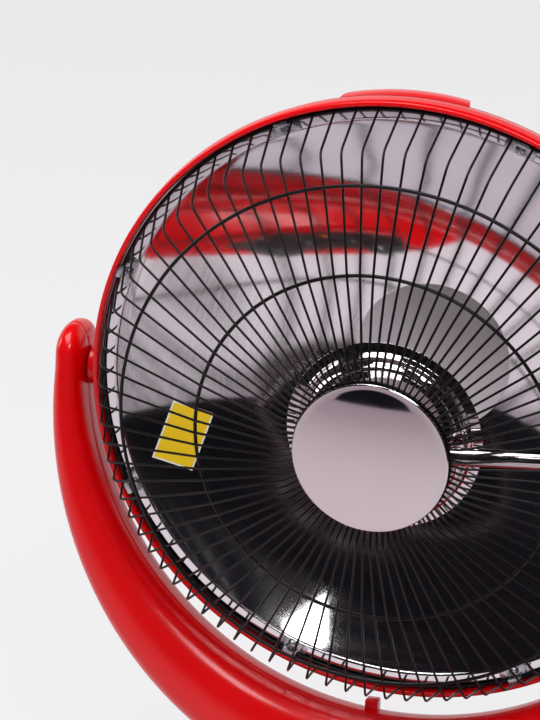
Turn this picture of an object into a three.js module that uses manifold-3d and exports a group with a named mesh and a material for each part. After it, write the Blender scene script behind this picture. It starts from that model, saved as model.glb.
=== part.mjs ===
// A parabolic dish heater: a mirror dish behind a wire guard tilts in a U-shaped yoke,
// and the yoke swings on a round weighted base.
// Millimetres, +Z up, front towards -Y. The origin is the centre of the base on the floor.
import * as THREE from "three";
import { mergeVertices } from "three/addons/utils/BufferGeometryUtils.js";
import Module from "manifold-3d";

const wasm = await Module();
wasm.setup();

// ---------- driving dimensions ----------
const clearance = 0.3; // between pieces that seat on each other
const roundSegments = 36;

// where the dish stands
const yokeAboveBase = 15.5; // from the base's top to the lowest point of the yoke held upright
const pivotBehindNeck = 46;
const pivotBehindRim = 20;
const rimAbovePivot = 2;
const yokeLean = THREE.MathUtils.degToRad(10);

// front bezel
const bezelRadius = 200;
const bezelLip = 3.6;
const bezelDepth = 12;
const bezelLedge = bezelRadius - 11.5; // inner radius of the ledge that carries the reflector
const bezelLedgeDepth = 9;
const spigotStep = 2.6; // how far inside the bezel's skin the housing's spigot goes

// reflector
const dishRadius = bezelLedge - 4.3;
const dishDepth = 81; // of the full curve, which stops at the flat middle
const dishFlat = 50; // radius of the flat middle
const dishStep = 3; // the bead between the flat flange and the dish
const flangeFront = 1; // the flange's front face, behind the rim plane
const reflectorSheet = 1;

// rear housing
const housingDepth = dishDepth + 27; // with room for the terminals behind the dish
const housingBackRadius = 58;
const housingCurve = [[0.961, 0.083], [0.901, 0.208], [0.732, 0.4375], [0.451, 0.6875], [0.141, 0.896]];
const housingWall = 2.5;
const bossRadius = 12.5;
const bossInset = 8; // how far the boss reaches inside the housing
const bossGap = 1.7; // between the boss and the yoke at the pivot
const ventCount = 8;
const ventLength = 26;
const ventWidth = 5;
const ventRadius = 86;
const gripWidth = 76;
const gripDepth = 60;
const gripWall = 3;

// guard
const wireCount = 88;
const wireHalf = 1.25;
const rimRingRadius = bezelRadius - 6;
const rimRingHeight = 3.5;
const rimRingHalf = 1.2;
const guardBend = [rimRingRadius - 12.3, 43.4]; // radius, height in front of the rim plane
const outerRing = [rimRingRadius - 29.5, 55.8];
const middleRing = [112.8, 68.4];
const innerBend = [58, 79.8];
const innerRing = [48, 76];
const guardCentre = 60.6; // height at which the wires' last stretch would cross the axis
const ringHalfWidth = 1.4;

// clips and screws that hold the guard
const clipCount = 8;
const clipFirstAngle = THREE.MathUtils.degToRad(22.5);
const clipSheet = 0.65;
const clipWidth = 20;
const tongueWidth = 9;
const screwCircle = bezelRadius - 11;
const screwShank = 1.6;
const screwHeadRadius = 3;
const screwHeadHeight = 2.2;
const screwLength = 11;

// cap and hub in the middle of the guard
const capRadius = 48.5;
const capBack = 78.1;
const capEdge = 1.2;
const capCrown = 3.2;
const capBossRadius = 8;
const hubFront = 74.4;
const hubSeatRadius = 48.2; // the flat seat under the guard's inner ring
const hubNeck = [45, 72.2]; // radius, height: the top of the cone under the seat
const hubFoot = [48, 52];
const hubGroove = [51, 48.8];
const hubRidge = [53.2, 49.8];
const hubBrim = [55, 46.2];
const hubRim = [61.4, 44.6];
const hubSheet = 1;
const capScrewRadius = 1.8;

// ceramic element
const elementSocketRadius = 26;
const elementSocketLength = 11;
const elementCoreRadius = 17;
const elementTip = 8;
const coilTurns = 8;
const coilPitch = 4.6;
const coilWire = 1;
const coilSteps = 8;

// tube that carries the leads from the hub to the dish
const tubeRadius = 5.75;
const tubeStart = [38, 65];
const tubeEnd = dishRadius - 10.2; // radius at which it meets the dish
const tubeMiddle = [tubeEnd - 36, 51.5];
const tubeBend = [10, 3.6]; // how far the bend's first handle lies from the end and below the middle
const tubeDrop = 13.5; // how far the bend's second handle lies below the middle
const tubeBendEnd = 18; // height at which the tube runs straight back
const tubeBehindDish = 12;
const tubeCollarRadius = 10;
const tubeCollarLength = 9;

// on the inside of the housing's flat back
const cutoutRadius = 9;
const cutoutHeight = 8;
const terminalSize = [34, 10, 16];

// sticker on the dish
const stickerWidth = 29;
const stickerHeight = 39;
const stickerRadius = dishRadius - 26.6;
const stickerAngle = THREE.MathUtils.degToRad(197.5);
const stickerSpin = THREE.MathUtils.degToRad(49.5);
const stickerSheet = 0.35;

// yoke
const yokeInner = bezelRadius + 9;
const yokeTipHalf = 10;
const yokeBottomHalf = 31;
const yokeDepthHalf = 26;
const yokeTipRise = 30;
const yokeTipRound = 20;
const yokeWall = 2.2;
const yokeSquareness = 2.6;
const yokeSeam = -5;
const tabSize = [8.5, 9, 7.4]; // across, front to back, height above the yoke
const tabPlace = [-17, 6];

// pivot pins
const pinRadius = 4;
const pinHeadRadius = 7;
const pinHeadLength = 3;
const pinInside = 4;

// neck
const neckRadius = 15;
const neckBore = 9;
const neckBottom = 24;
const neckTop = 74;
const bearingRadius = 38;
const bearingThickness = 2.7;
const pedestalRadius = 42;
const pedestalTopRadius = 31;
const pedestalTop = 97;
const collarRadius = 24;
const collarThickness = 3.7;

// base
const baseRadius = 150;
const baseBottom = 7;
const baseTop = 58.5;
const baseTopRadius = 48;
const baseWall = 2.5;
const baseRimWall = 2.8;
const plateThickness = 2.5;
const footRadius = 12;
const footCircle = baseRadius - 28;
const ballastOuter = baseRadius - 16;
const ballastInner = ballastOuter - 42;
const ballastHeight = 10.5;

// control console
const consoleTilt = THREE.MathUtils.degToRad(24);
const consoleCentre = [0, 47 - baseRadius, 52];
const consoleSize = [150, 64];
const consoleSkirt = 46; // how far its walls run down into the base
const consoleWall = 2.5;
const consoleRound = 12;
const panelMargin = 6;
const panelSize = consoleSize.map((side) => side - 2 * panelMargin);
const panelRound = 7;
const panelRecess = 1.2;
const panelThickness = 1.5;
const knobSpacing = consoleSize[0] / 2 - 33;
const knobRadius = 19;
const knobHeight = 16;
const knobStem = 3;
const bushRadius = 4.6;
const switchSize = [30, 30, 20];
const buttonRadius = 7.9;
const buttonProud = 5;
const buttonTravel = 3;
const buttonPlace = -7;
const lampRadius = 3.1;
const lampPlace = 15;

// swing drive
const gearModule = 1.5;
const sectorTeeth = 53;
const sectorHalfAngle = THREE.MathUtils.degToRad(56);
const pinionTeeth = 8;
const gearThickness = 4.5;
const gearBottom = 27;
const gearBacklash = 0.25;
const motorRadius = 24;
const motorHeight = 15.5;
const motorShaft = 3;

// tip-over switch
const tipSwitchRadius = ballastInner - 18;
const tipSwitchAngle = THREE.MathUtils.degToRad(135);
const tipSwitchSize = [24, 14, 18];
const plungerRadius = 3;
const plungerFloorGap = 0.3;
const plungerLength = 17.5;

// cord gland
const glandHeight = 17;
const glandNeck = 4.4;
const glandFlange = 6.5;
const glandBore = 3.6;

// ---------- shape helpers ----------

// The geometry as one welded closed body with its faces outwards.
function welded(geometry) {
  const bare = new THREE.BufferGeometry();
  bare.setAttribute("position", geometry.getAttribute("position"));
  if (geometry.index) bare.setIndex(geometry.index);
  const merged = mergeVertices(bare, 1e-4);
  const position = merged.getAttribute("position");
  const corner = [0, 1, 2].map(() => new THREE.Vector3());
  const kept = [];
  let volume = 0;
  for (let i = 0; i < merged.index.count; i += 3) {
    const [a, b, c] = [0, 1, 2].map((k) => merged.index.getX(i + k));
    if (a === b || b === c || c === a) continue;
    [a, b, c].forEach((vertex, k) => corner[k].fromBufferAttribute(position, vertex));
    volume += corner[0].dot(corner[1].clone().cross(corner[2]));
    kept.push(a, b, c);
  }
  if (volume < 0) {
    for (let i = 0; i < kept.length; i += 3) [kept[i + 1], kept[i + 2]] = [kept[i + 2], kept[i + 1]];
  }
  merged.setIndex(kept);
  return merged;
}

function solid(geometry) {
  const body = welded(geometry);
  return new wasm.Manifold(
    new wasm.Mesh({
      numProp: 3,
      vertProperties: body.getAttribute("position").array,
      triVerts: Uint32Array.from(body.index.array),
    }),
  );
}

function geometryOf(manifold) {
  const mesh = manifold.getMesh();
  const geometry = new THREE.BufferGeometry();
  geometry.setAttribute("position", new THREE.BufferAttribute(mesh.vertProperties, 3));
  geometry.setIndex(new THREE.BufferAttribute(mesh.triVerts, 1));
  return geometry;
}

const joined = (...parts) => parts.reduce((whole, part) => whole.add(part));
const without = (whole, ...parts) => parts.reduce((rest, part) => rest.subtract(part), whole);

// A body turned about Y from [radius, y] points. A profile off the axis closes on itself.
function turned(profile, segments = roundSegments) {
  const onAxis = profile[0][0] === 0 && profile.at(-1)[0] === 0;
  const outline = onAxis ? profile : [...profile, profile[0]];
  return new THREE.LatheGeometry(
    outline.map(([radius, y]) => new THREE.Vector2(radius, y)),
    segments,
  );
}

// The same about Z, from [radius, z] points.
const turnedUp = (profile, segments) => turned(profile, segments).rotateX(Math.PI / 2);

// A cylinder along Z from z = low to z = high.
function post(radius, low, high, segments = 16, x = 0, y = 0) {
  const cylinder = new THREE.CylinderGeometry(radius, radius, high - low, segments);
  return cylinder.rotateX(Math.PI / 2).translate(x, y, (low + high) / 2);
}

function block(width, depth, height, x = 0, y = 0, z = 0) {
  return new THREE.BoxGeometry(width, depth, height).translate(x, y, z);
}

function roundedRectangle(width, height, radius) {
  const [x, y] = [width / 2, height / 2];
  const shape = new THREE.Shape();
  shape.absarc(x - radius, y - radius, radius, 0, Math.PI / 2);
  shape.absarc(radius - x, y - radius, radius, Math.PI / 2, Math.PI);
  shape.absarc(radius - x, radius - y, radius, Math.PI, Math.PI * 1.5);
  shape.absarc(x - radius, radius - y, radius, Math.PI * 1.5, Math.PI * 2);
  return shape;
}

// A flat shape pushed along Z from z = low to z = high.
function slab(shape, low, high, curveSegments = 3) {
  const settings = { depth: high - low, bevelEnabled: false, curveSegments };
  return new THREE.ExtrudeGeometry(shape, settings).translate(0, 0, low);
}

// A closed skin over rings of points that hold as many points each, capped at both ends.
function lofted(rings) {
  const count = rings[0].length;
  const points = rings.flat();
  const index = [];
  for (let ring = 0; ring + 1 < rings.length; ring++) {
    for (let k = 0; k < count; k++) {
      const [a, b] = [ring * count + k, ring * count + ((k + 1) % count)];
      index.push(a, b, b + count, a, b + count, a + count);
    }
  }
  [0, rings.length - 1].forEach((ring) => {
    const centre = new THREE.Vector3();
    rings[ring].forEach((point) => centre.addScaledVector(point, 1 / count));
    points.push(centre);
    for (let k = 0; k < count; k++) {
      const [a, b] = [ring * count + k, ring * count + ((k + 1) % count)];
      index.push(points.length - 1, ring ? a : b, ring ? b : a);
    }
  });
  return new THREE.BufferGeometry().setFromPoints(points).setIndex(index);
}

// ---------- materials ----------
const material = (color, roughness, metalness) =>
  new THREE.MeshStandardMaterial({ color, roughness, metalness });
const redPlastic = material(0xc8040c, 0.2, 0);
const blackPlastic = material(0x17171a, 0.45, 0);
const greyPlastic = material(0x8b8d90, 0.5, 0);
const whiteNylon = material(0xe6e4dc, 0.5, 0);
const mirrorAluminium = material(0xd8d8dc, 0.12, 1);
const chrome = material(0xdadbe0, 0.08, 1);
const blackWire = material(0x0d0b0d, 0.35, 0.2);
const steel = material(0xa9adb2, 0.3, 1);
const castIron = material(0x3b3c3e, 0.7, 0.6);
const rubber = material(0x1a1a1b, 0.85, 0);
const ceramic = material(0xece7dc, 0.6, 0);
const heatingWire = material(0x77706a, 0.5, 0.9);
const amberLens = material(0xe0781a, 0.2, 0);
const stickerFilm = material(0xf0c912, 0.4, 0);

function piece(name, geometry, finish) {
  const body = welded(geometry);
  body.computeVertexNormals();
  const mesh = new THREE.Mesh(body, finish);
  mesh.name = name;
  return mesh;
}

const heater = new THREE.Group();
const pivotHeight = baseTop + yokeAboveBase + yokeInner + 2 * yokeBottomHalf;

// ---------- head: everything that tilts, with the rim plane at y = 0 ----------
const head = new THREE.Group();
head.position.set(0, pivotBehindNeck - pivotBehindRim, pivotHeight + rimAbovePivot);
heater.add(head);

const pivotInHead = [pivotBehindRim, -rimAbovePivot]; // y and z of the tilt axis
const flangeRadius = bezelRadius - bezelLip - clearance;
const rimRoom = (bezelRadius - bezelLip) * Math.cos(Math.PI / roundSegments) - clearance;
const dishFront = flangeFront + dishStep;
const clipStep = (2 * Math.PI) / clipCount;
const clipAngles = Array.from({ length: clipCount }, (_, k) => clipFirstAngle + k * clipStep);
const dishY = (radius) => dishFront + dishDepth * (1 - (Math.max(radius, dishFlat) / dishRadius) ** 2);
const dishRadii = [0, dishFlat, ...[0.4, 0.54, 0.68, 0.805, 0.907, 1].map((share) => share * dishRadius)];

// A cylinder along Y in the head.
function headPost(radius, front, back, segments, x, z) {
  const cylinder = new THREE.CylinderGeometry(radius, radius, back - front, segments);
  return cylinder.translate(x, (front + back) / 2, z);
}

const screwHoles = () =>
  clipAngles.map((angle) =>
    solid(
      headPost(
        screwShank + clearance, -1, bezelLedgeDepth + 1, 6,
        screwCircle * Math.cos(angle), screwCircle * Math.sin(angle),
      ),
    ),
  );

function bezelRing() {
  const inside = bezelRadius - bezelLip;
  const ledgeFront = flangeFront + reflectorSheet + clearance;
  const body = turned([
    [inside, -4.2],
    [inside + 1.2, -5.2],
    [bezelRadius - 0.8, -4.4],
    [bezelRadius, -2],
    [bezelRadius, bezelDepth],
    [bezelRadius - spigotStep, bezelDepth],
    [bezelRadius - spigotStep, bezelLedgeDepth],
    [bezelLedge, bezelLedgeDepth],
    [bezelLedge, ledgeFront],
    [inside, ledgeFront],
  ]);
  return geometryOf(without(solid(body), ...screwHoles()));
}

function reflector() {
  const front = dishRadii.map((radius) => [radius, dishY(radius)]);
  const bead = [
    [dishRadius + 1.8, flangeFront],
    [flangeRadius, flangeFront],
  ];
  const backEdge = [
    [flangeRadius, flangeFront + reflectorSheet],
    [dishRadius + 2.4, flangeFront + reflectorSheet],
  ];
  const back = dishRadii.toReversed().map((radius) => [radius, dishY(radius) + reflectorSheet * 1.25]);
  const tubeHole = solid(headPost(tubeRadius + clearance, 0, 40, 12, tubeEnd, 0));
  const sheet = solid(turned([...front, ...bead, ...backEdge, ...back]));
  return geometryOf(without(sheet, tubeHole, ...screwHoles()));
}

// Outside of the rear housing: [radius, y] from the bezel to the flat back, where the curve
// holds shares of the way out from the back's edge and of the way back from the bezel.
const housingOutline = [
  [bezelRadius, bezelDepth + clearance],
  ...housingCurve.map(([out, back]) => [
    housingBackRadius + out * (bezelRadius - housingBackRadius),
    bezelDepth + back * (housingDepth - bezelDepth),
  ]),
  [housingBackRadius, housingDepth],
];

// The grip's outside stands proud of the housing by a little at the front and more behind.
const gripOutline = [
  [bezelRadius, bezelDepth + clearance],
  [bezelRadius - 1.2, 18],
  [bezelRadius - 3.6, 25],
  [bezelRadius - 8, 34],
  [bezelRadius - 14, 46],
  [bezelRadius - 20.5, gripDepth],
];

function grip() {
  const topHalf = (width) => solid(block(width, 2 * gripDepth, bezelRadius * 2, 0, gripDepth, bezelRadius));
  const inner = gripOutline.map(([radius, y]) => [radius - gripWall, y]);
  const hood = solid(turned([...gripOutline, ...inner.toReversed()]));
  const filled = solid(
    turned([...gripOutline, [bezelRadius - 48 - housingWall / 2, gripDepth], [bezelRadius - 14, 30],
      [bezelRadius - 3, bezelDepth + clearance + 0.4]]),
  );
  const cheeks = without(filled.intersect(topHalf(gripWidth)), topHalf(gripWidth - 2 * gripWall));
  return joined(hood.intersect(topHalf(gripWidth)), cheeks);
}

function rearHousing() {
  const inside = housingOutline.slice(1).map(([radius, y]) => [radius - housingWall, y - housingWall * 0.75]);
  const spigotRadius = bezelRadius - spigotStep - clearance;
  const spigotFront = bezelLedgeDepth + clearance;
  const skin = turned([
    [0, spigotFront],
    [spigotRadius, spigotFront],
    [spigotRadius, bezelDepth + clearance],
    ...housingOutline,
    [0, housingDepth],
  ]);
  const room = turned(
    [
      [0, spigotFront - 1],
      [spigotRadius - housingWall, spigotFront - 1],
      ...inside,
      [0, housingDepth - housingWall],
    ],
    24,
  );
  const bowl = solid(skin).subtract(solid(room));
  const bossEnd = yokeInner - bossGap;
  const bossStart = bezelRadius - 5.5 - bossInset;
  const [bossY, bossZ] = pivotInHead;
  const besideBezel = headPost(bezelRadius + clearance, -40, bezelDepth + clearance, roundSegments, 0, 0);
  const bosses = [1, -1].map((side) => {
    const outer = new THREE.CylinderGeometry(bossRadius, bossRadius, bossEnd - bossStart, 20);
    const boreRadius = pinRadius + clearance;
    const bore = new THREE.CylinderGeometry(boreRadius, boreRadius, 2 * (bossEnd - bossStart), 12);
    const place = (g) => g.rotateZ(Math.PI / 2).translate((side * (bossStart + bossEnd)) / 2, bossY, bossZ);
    return [solid(place(outer)).subtract(solid(besideBezel)), solid(place(bore))];
  });
  const vents = Array.from({ length: ventCount }, (_, k) => {
    const slot = block(ventWidth, 60, ventLength, 0, housingDepth - 14, ventRadius);
    return solid(slot.rotateY((k * 2 * Math.PI) / ventCount));
  });
  const whole = joined(bowl, grip(), ...bosses.map(([outer]) => outer));
  return geometryOf(without(whole, ...bosses.map(([, bore]) => bore), ...vents));
}

// The guard is one welded piece. Each wire is a three-sided bar over a path of stations,
// and a ring joins the wires between the two stations where it crosses them.
function guardStations() {
  const at = ([radius, height]) => new THREE.Vector2(radius, height);
  const across = (centre, towards) => {
    const step = at(towards).sub(at(centre)).setLength(ringHalfWidth);
    return [at(centre).sub(step), at(centre).add(step)];
  };
  const rimBottom = -flangeFront + clearance;
  return [
    { point: new THREE.Vector2(rimRingRadius, rimBottom), half: rimRingHalf, ring: true },
    { point: new THREE.Vector2(rimRingRadius, rimBottom + rimRingHeight), half: rimRingHalf },
    { point: at(guardBend), half: wireHalf },
    { point: across(outerRing, middleRing)[0], half: wireHalf, ring: true },
    { point: across(outerRing, middleRing)[1], half: wireHalf },
    { point: across(middleRing, innerBend)[0], half: wireHalf, ring: true },
    { point: across(middleRing, innerBend)[1], half: wireHalf },
    { point: at(innerBend), half: wireHalf },
    { point: across(innerRing, [0, guardCentre])[0], half: wireHalf, ring: true },
    { point: across(innerRing, [0, guardCentre])[1], half: wireHalf },
  ];
}

function frontGuard() {
  const stations = guardStations();
  const count = stations.length;
  const pitch = (2 * Math.PI) / wireCount;
  const firstWire = clipFirstAngle + pitch / 2;
  const points = [];
  for (let wire = 0; wire < wireCount; wire++) {
    const angle = firstWire + wire * pitch;
    const outward = new THREE.Vector3(Math.cos(angle), 0, Math.sin(angle));
    const sideways = new THREE.Vector3(-Math.sin(angle), 0, Math.cos(angle));
    stations.forEach(({ point, half }, k) => {
      const [before, after] = [stations[Math.max(k - 1, 0)], stations[Math.min(k + 1, count - 1)]];
      const along = after.point.clone().sub(before.point);
      const normal = new THREE.Vector2(along.y, -along.x).normalize();
      const place = (across, side) =>
        outward
          .clone()
          .multiplyScalar(point.x + normal.x * across)
          .addScaledVector(sideways, side)
          .setY(-(point.y + normal.y * across));
      points.push(place(half, 0), place(-half / 2, half), place(-half / 2, -half));
    });
  }
  const [edge, left, right] = [0, 1, 2];
  const index = [];
  const vertex = (wire, station, corner) => ((wire % wireCount) * count + station) * 3 + corner;
  const quad = (a, b, c, d) => index.push(a, b, c, a, c, d);
  for (let wire = 0; wire < wireCount; wire++) {
    const here = (station, corner) => vertex(wire, station, corner);
    const next = (station, corner) => vertex(wire + 1, station, corner);
    index.push(here(0, edge), here(0, right), here(0, left));
    index.push(here(count - 1, edge), here(count - 1, left), here(count - 1, right));
    for (let s = 0; s + 1 < count; s++) {
      const t = s + 1;
      quad(here(s, left), here(s, right), here(t, right), here(t, left));
      if (stations[s].ring) {
        quad(here(s, edge), here(s, left), next(s, right), next(s, edge));
        quad(here(s, left), here(t, left), next(t, right), next(s, right));
        quad(here(t, left), here(t, edge), next(t, edge), next(t, right));
        quad(here(t, edge), here(s, edge), next(s, edge), next(t, edge));
      } else {
        quad(here(s, edge), here(s, left), here(t, left), here(t, edge));
        quad(here(s, right), here(s, edge), here(t, edge), here(t, right));
      }
    }
  }
  return welded(new THREE.BufferGeometry().setFromPoints(points).setIndex(index));
}

// A folded clip: a plate on the flange and a tongue over the guard's rim ring.
// Local x runs along the rim, y out from the dish axis and z out of the front.
function guardClip() {
  const plateLow = -flangeFront + clearance;
  const plateInner = dishRadius + 1.8 - screwCircle;
  const plateOuter = rimRingRadius - rimRingHalf / 2 - 1.5 * clearance - screwCircle;
  const notch = screwShank + clearance;
  const half = clipWidth / 2;
  const outline = new THREE.Shape([
    new THREE.Vector2(-half + 3, plateInner),
    new THREE.Vector2(-notch, plateInner),
    new THREE.Vector2(-notch, notch),
    new THREE.Vector2(notch, notch),
    new THREE.Vector2(notch, plateInner),
    new THREE.Vector2(half - 3, plateInner),
    new THREE.Vector2(half, plateOuter - clearance),
    new THREE.Vector2(tongueWidth / 2, plateOuter),
    new THREE.Vector2(-tongueWidth / 2, plateOuter),
    new THREE.Vector2(-half, plateOuter - clearance),
  ]);
  const plate = slab(outline, plateLow, plateLow + clipSheet);
  const ringTop = plateLow + rimRingHeight + 2.5 * clearance;
  const reach = rimRoom - 0.1 - screwCircle;
  const tongue = new THREE.Shape([
    new THREE.Vector2(plateOuter - clipSheet, plateLow),
    new THREE.Vector2(plateOuter, plateLow),
    new THREE.Vector2(plateOuter, ringTop),
    new THREE.Vector2(reach, ringTop),
    new THREE.Vector2(reach, ringTop + clipSheet),
    new THREE.Vector2(plateOuter - clipSheet, ringTop + clipSheet),
  ]);
  const fold = slab(tongue, -tongueWidth / 2, tongueWidth / 2).applyMatrix4(
    new THREE.Matrix4().makeBasis(
      new THREE.Vector3(0, 1, 0),
      new THREE.Vector3(0, 0, 1),
      new THREE.Vector3(1, 0, 0),
    ),
  );
  return geometryOf(joined(solid(plate), solid(fold)));
}

function clipScrew() {
  const seat = -flangeFront + clearance + clipSheet + clearance;
  return turnedUp(
    [
      [0, seat + screwHeadHeight],
      [screwHeadRadius * 0.7, seat + screwHeadHeight],
      [screwHeadRadius, seat + screwHeadHeight * 0.4],
      [screwHeadRadius, seat],
      [screwShank, seat],
      [screwShank, seat - screwLength],
      [0, seat - screwLength],
    ],
    6,
  );
}

function centreCap() {
  const back = -capBack;
  const face = back - capEdge;
  const crown = (share) => face - capCrown * (1 - share ** 2);
  const body = turned(
    [
      [0, crown(0)],
      ...[0.5, 0.85].map((share) => [capRadius * share, crown(share)]),
      [capRadius - 0.6, face],
      [capRadius, face + 0.6],
      [capRadius - 0.3, back],
      [capBossRadius, back],
      [capBossRadius, -hubFront - clearance],
      [0, -hubFront - clearance],
    ],
    28,
  );
  const bore = headPost(capScrewRadius + clearance, -hubFront - 4, -hubFront + 2, 8, 0, 0);
  return geometryOf(without(solid(body), solid(bore)));
}

function capScrew() {
  const seat = -hubFront + hubSheet + clearance;
  return turned(
    [
      [0, seat - 4.5],
      [capScrewRadius, seat - 4.5],
      [capScrewRadius, seat],
      [3.6, seat],
      [3.6, seat + 1.6],
      [2.2, seat + 2.4],
      [0, seat + 2.4],
    ],
    12,
  );
}

// The run of the lead tube, in the plane z = 0 of the head.
function tubeRun() {
  const at = ([x, height]) => new THREE.Vector3(x, -height, 0);
  const run = new THREE.CurvePath();
  const bendEnd = at([tubeEnd, tubeBendEnd]);
  const firstHandle = at([tubeEnd - tubeBend[0], tubeMiddle[1] - tubeBend[1]]);
  const secondHandle = at([tubeEnd, tubeMiddle[1] - tubeDrop]);
  run.add(new THREE.LineCurve3(at(tubeStart), at(tubeMiddle)));
  run.add(new THREE.CubicBezierCurve3(at(tubeMiddle), firstHandle, secondHandle, bendEnd));
  run.add(new THREE.LineCurve3(bendEnd, new THREE.Vector3(tubeEnd, dishY(tubeEnd) + tubeBehindDish, 0)));
  return run;
}

function supportTube() {
  const section = new THREE.Shape().absarc(0, 0, tubeRadius, 0, 2 * Math.PI);
  const settings = { steps: 16, curveSegments: 5, bevelEnabled: false, extrudePath: tubeRun() };
  return welded(new THREE.ExtrudeGeometry(section, settings));
}

// The hub is a spun hat: a flat seat, a cone under it, a ridge at its foot and a thin brim.
function hubReflector() {
  const hatLine = [hubNeck, hubFoot, hubGroove, hubRidge, hubBrim, hubRim];
  const hat = hatLine.map(([radius, height]) => [radius, -height]);
  const behind = hat.map(([radius, y], k) => {
    const [fromX, fromY] = hat[Math.max(k - 1, 0)];
    const [toX, toY] = hat[Math.min(k + 1, hat.length - 1)];
    const run = Math.hypot(toX - fromX, toY - fromY);
    return [radius - ((toY - fromY) / run) * hubSheet, y + ((toX - fromX) / run) * hubSheet];
  });
  const hole = capScrewRadius + clearance;
  const seatBack = -hubFront + hubSheet;
  const front = [[hole, -hubFront], [hubSeatRadius, -hubFront], [hubSeatRadius, seatBack], ...hat];
  const back = [...behind.toReversed(), [hubNeck[0] - hubSheet, seatBack], [hole, seatBack]];
  const body = turned([...front, ...back], 24);
  const [x, height] = tubeStart;
  const slope = Math.atan2(tubeStart[1] - tubeMiddle[1], tubeMiddle[0] - tubeStart[0]);
  const passageRadius = tubeRadius + 2 * clearance;
  const passage = new THREE.CylinderGeometry(passageRadius, passageRadius, 60, 12)
    .rotateZ(Math.PI / 2 + slope)
    .translate(x, -height, 0);
  return geometryOf(without(solid(body), solid(passage)));
}

const elementBack = -hubFront + hubSheet + clearance; // where the element's socket meets the hub
const socketEnd = elementBack + elementSocketLength;

function ceramicCore() {
  const body = turned(
    [
      [0, elementBack],
      [elementSocketRadius - 1.5, elementBack],
      [elementSocketRadius, elementBack + 1.5],
      [elementSocketRadius, socketEnd],
      [elementCoreRadius, socketEnd],
      [elementCoreRadius, -elementTip - 6],
      [elementCoreRadius * 0.7, -elementTip - 1.5],
      [0, -elementTip],
    ],
    16,
  );
  const screwRoom = headPost(4.2, elementBack - 1, elementBack + 3, 10, 0, 0);
  return geometryOf(without(solid(body), solid(screwRoom)));
}

// One unbroken wire: straight out of the socket, round the core, and in to the core's side.
function coilPath() {
  const radius = (elementCoreRadius + clearance + coilWire) / Math.cos(Math.PI / coilSteps);
  const low = socketEnd + clearance;
  const first = low + 3;
  const points = [new THREE.Vector3(0, low, radius), new THREE.Vector3(0, low + 2 * coilWire, radius)];
  for (let k = 1; k <= coilTurns * coilSteps; k++) {
    const angle = (k * 2 * Math.PI) / coilSteps;
    const y = first + (k / coilSteps) * coilPitch;
    points.push(new THREE.Vector3(radius * Math.sin(angle), y, radius * Math.cos(angle)));
  }
  const last = points.at(-1);
  points.push(new THREE.Vector3(0, last.y + 1, elementCoreRadius + clearance));
  return points;
}

function heatingCoil() {
  const sides = 5;
  const path = coilPath();
  const axis = new THREE.Vector3(0, 1, 0);
  const rings = path.map((point, k) => {
    const along = path[Math.min(k + 1, path.length - 1)].clone().sub(path[Math.max(k - 1, 0)]).normalize();
    const out = new THREE.Vector3(point.x, 0, point.z).normalize();
    const steep = Math.abs(along.dot(out)) > 0.9;
    const across = new THREE.Vector3().crossVectors(steep ? axis : out, along).normalize();
    const up = new THREE.Vector3().crossVectors(along, across);
    return Array.from({ length: sides }, (_, side) => {
      const turn = (side * 2 * Math.PI) / sides;
      return point
        .clone()
        .addScaledVector(across, coilWire * Math.cos(turn))
        .addScaledVector(up, coilWire * Math.sin(turn));
    });
  });
  return welded(lofted(rings));
}

// A collar round the tube, cut to sit on the dish.
function tubeCollar() {
  const start = dishY(tubeEnd) - tubeCollarLength;
  const bore = tubeRadius + clearance;
  const ring = turned([[bore, start], [tubeCollarRadius - 1, start], [tubeCollarRadius, start + 1],
    [tubeCollarRadius, start + 24], [bore, start + 24]], 16);
  const rearEnd = dishFront + dishDepth + tubeBehindDish;
  const seat = dishRadii.map((radius) => [radius, dishY(radius) - clearance]);
  const behind = [...seat, [dishRadius, rearEnd], [0, rearEnd]];
  return geometryOf(without(solid(ring.translate(tubeEnd, 0, 0)), solid(turned(behind))));
}

// A thin film that follows the dish.
function sticker() {
  const low = dishRadii.slice(4).map((radius) => [radius, dishY(radius) - clearance]);
  const high = low.map(([radius, y]) => [radius, y - stickerSheet]);
  const film = solid(turned([...low, ...high.toReversed()]));
  const slope = (2 * dishDepth * stickerRadius) / dishRadius ** 2;
  const outward = new THREE.Vector3(Math.cos(stickerAngle), 0, Math.sin(stickerAngle));
  const along = new THREE.Vector3(-Math.sin(stickerAngle), 0, Math.cos(stickerAngle));
  const normal = outward.clone().multiplyScalar(slope).setY(1).normalize();
  const inward = new THREE.Vector3().crossVectors(along, normal);
  const width = along
    .clone()
    .multiplyScalar(Math.cos(stickerSpin))
    .addScaledVector(inward, Math.sin(stickerSpin));
  const height = new THREE.Vector3().crossVectors(normal, width);
  const place = new THREE.Matrix4()
    .makeBasis(width, height, normal)
    .setPosition(outward.multiplyScalar(stickerRadius).setY(dishY(stickerRadius)));
  const outline = slab(roundedRectangle(stickerWidth, stickerHeight, 2.5), -12, 12, 2).applyMatrix4(place);
  return geometryOf(film.intersect(solid(outline)));
}

head.add(
  piece("bezel_ring", bezelRing(), redPlastic),
  piece("rear_housing", rearHousing(), redPlastic),
  piece("reflector", reflector(), mirrorAluminium),
  piece("front_guard", frontGuard(), blackWire),
  piece("centre_cap", centreCap(), chrome),
  piece("cap_screw", capScrew(), steel),
  piece("hub_reflector", hubReflector(), chrome),
  piece("ceramic_core", ceramicCore(), ceramic),
  piece("heating_coil", heatingCoil(), heatingWire),
  piece("support_tube", supportTube(), chrome),
  piece("tube_collar", tubeCollar(), chrome),
  piece("blank_sticker", sticker(), stickerFilm),
);

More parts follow.
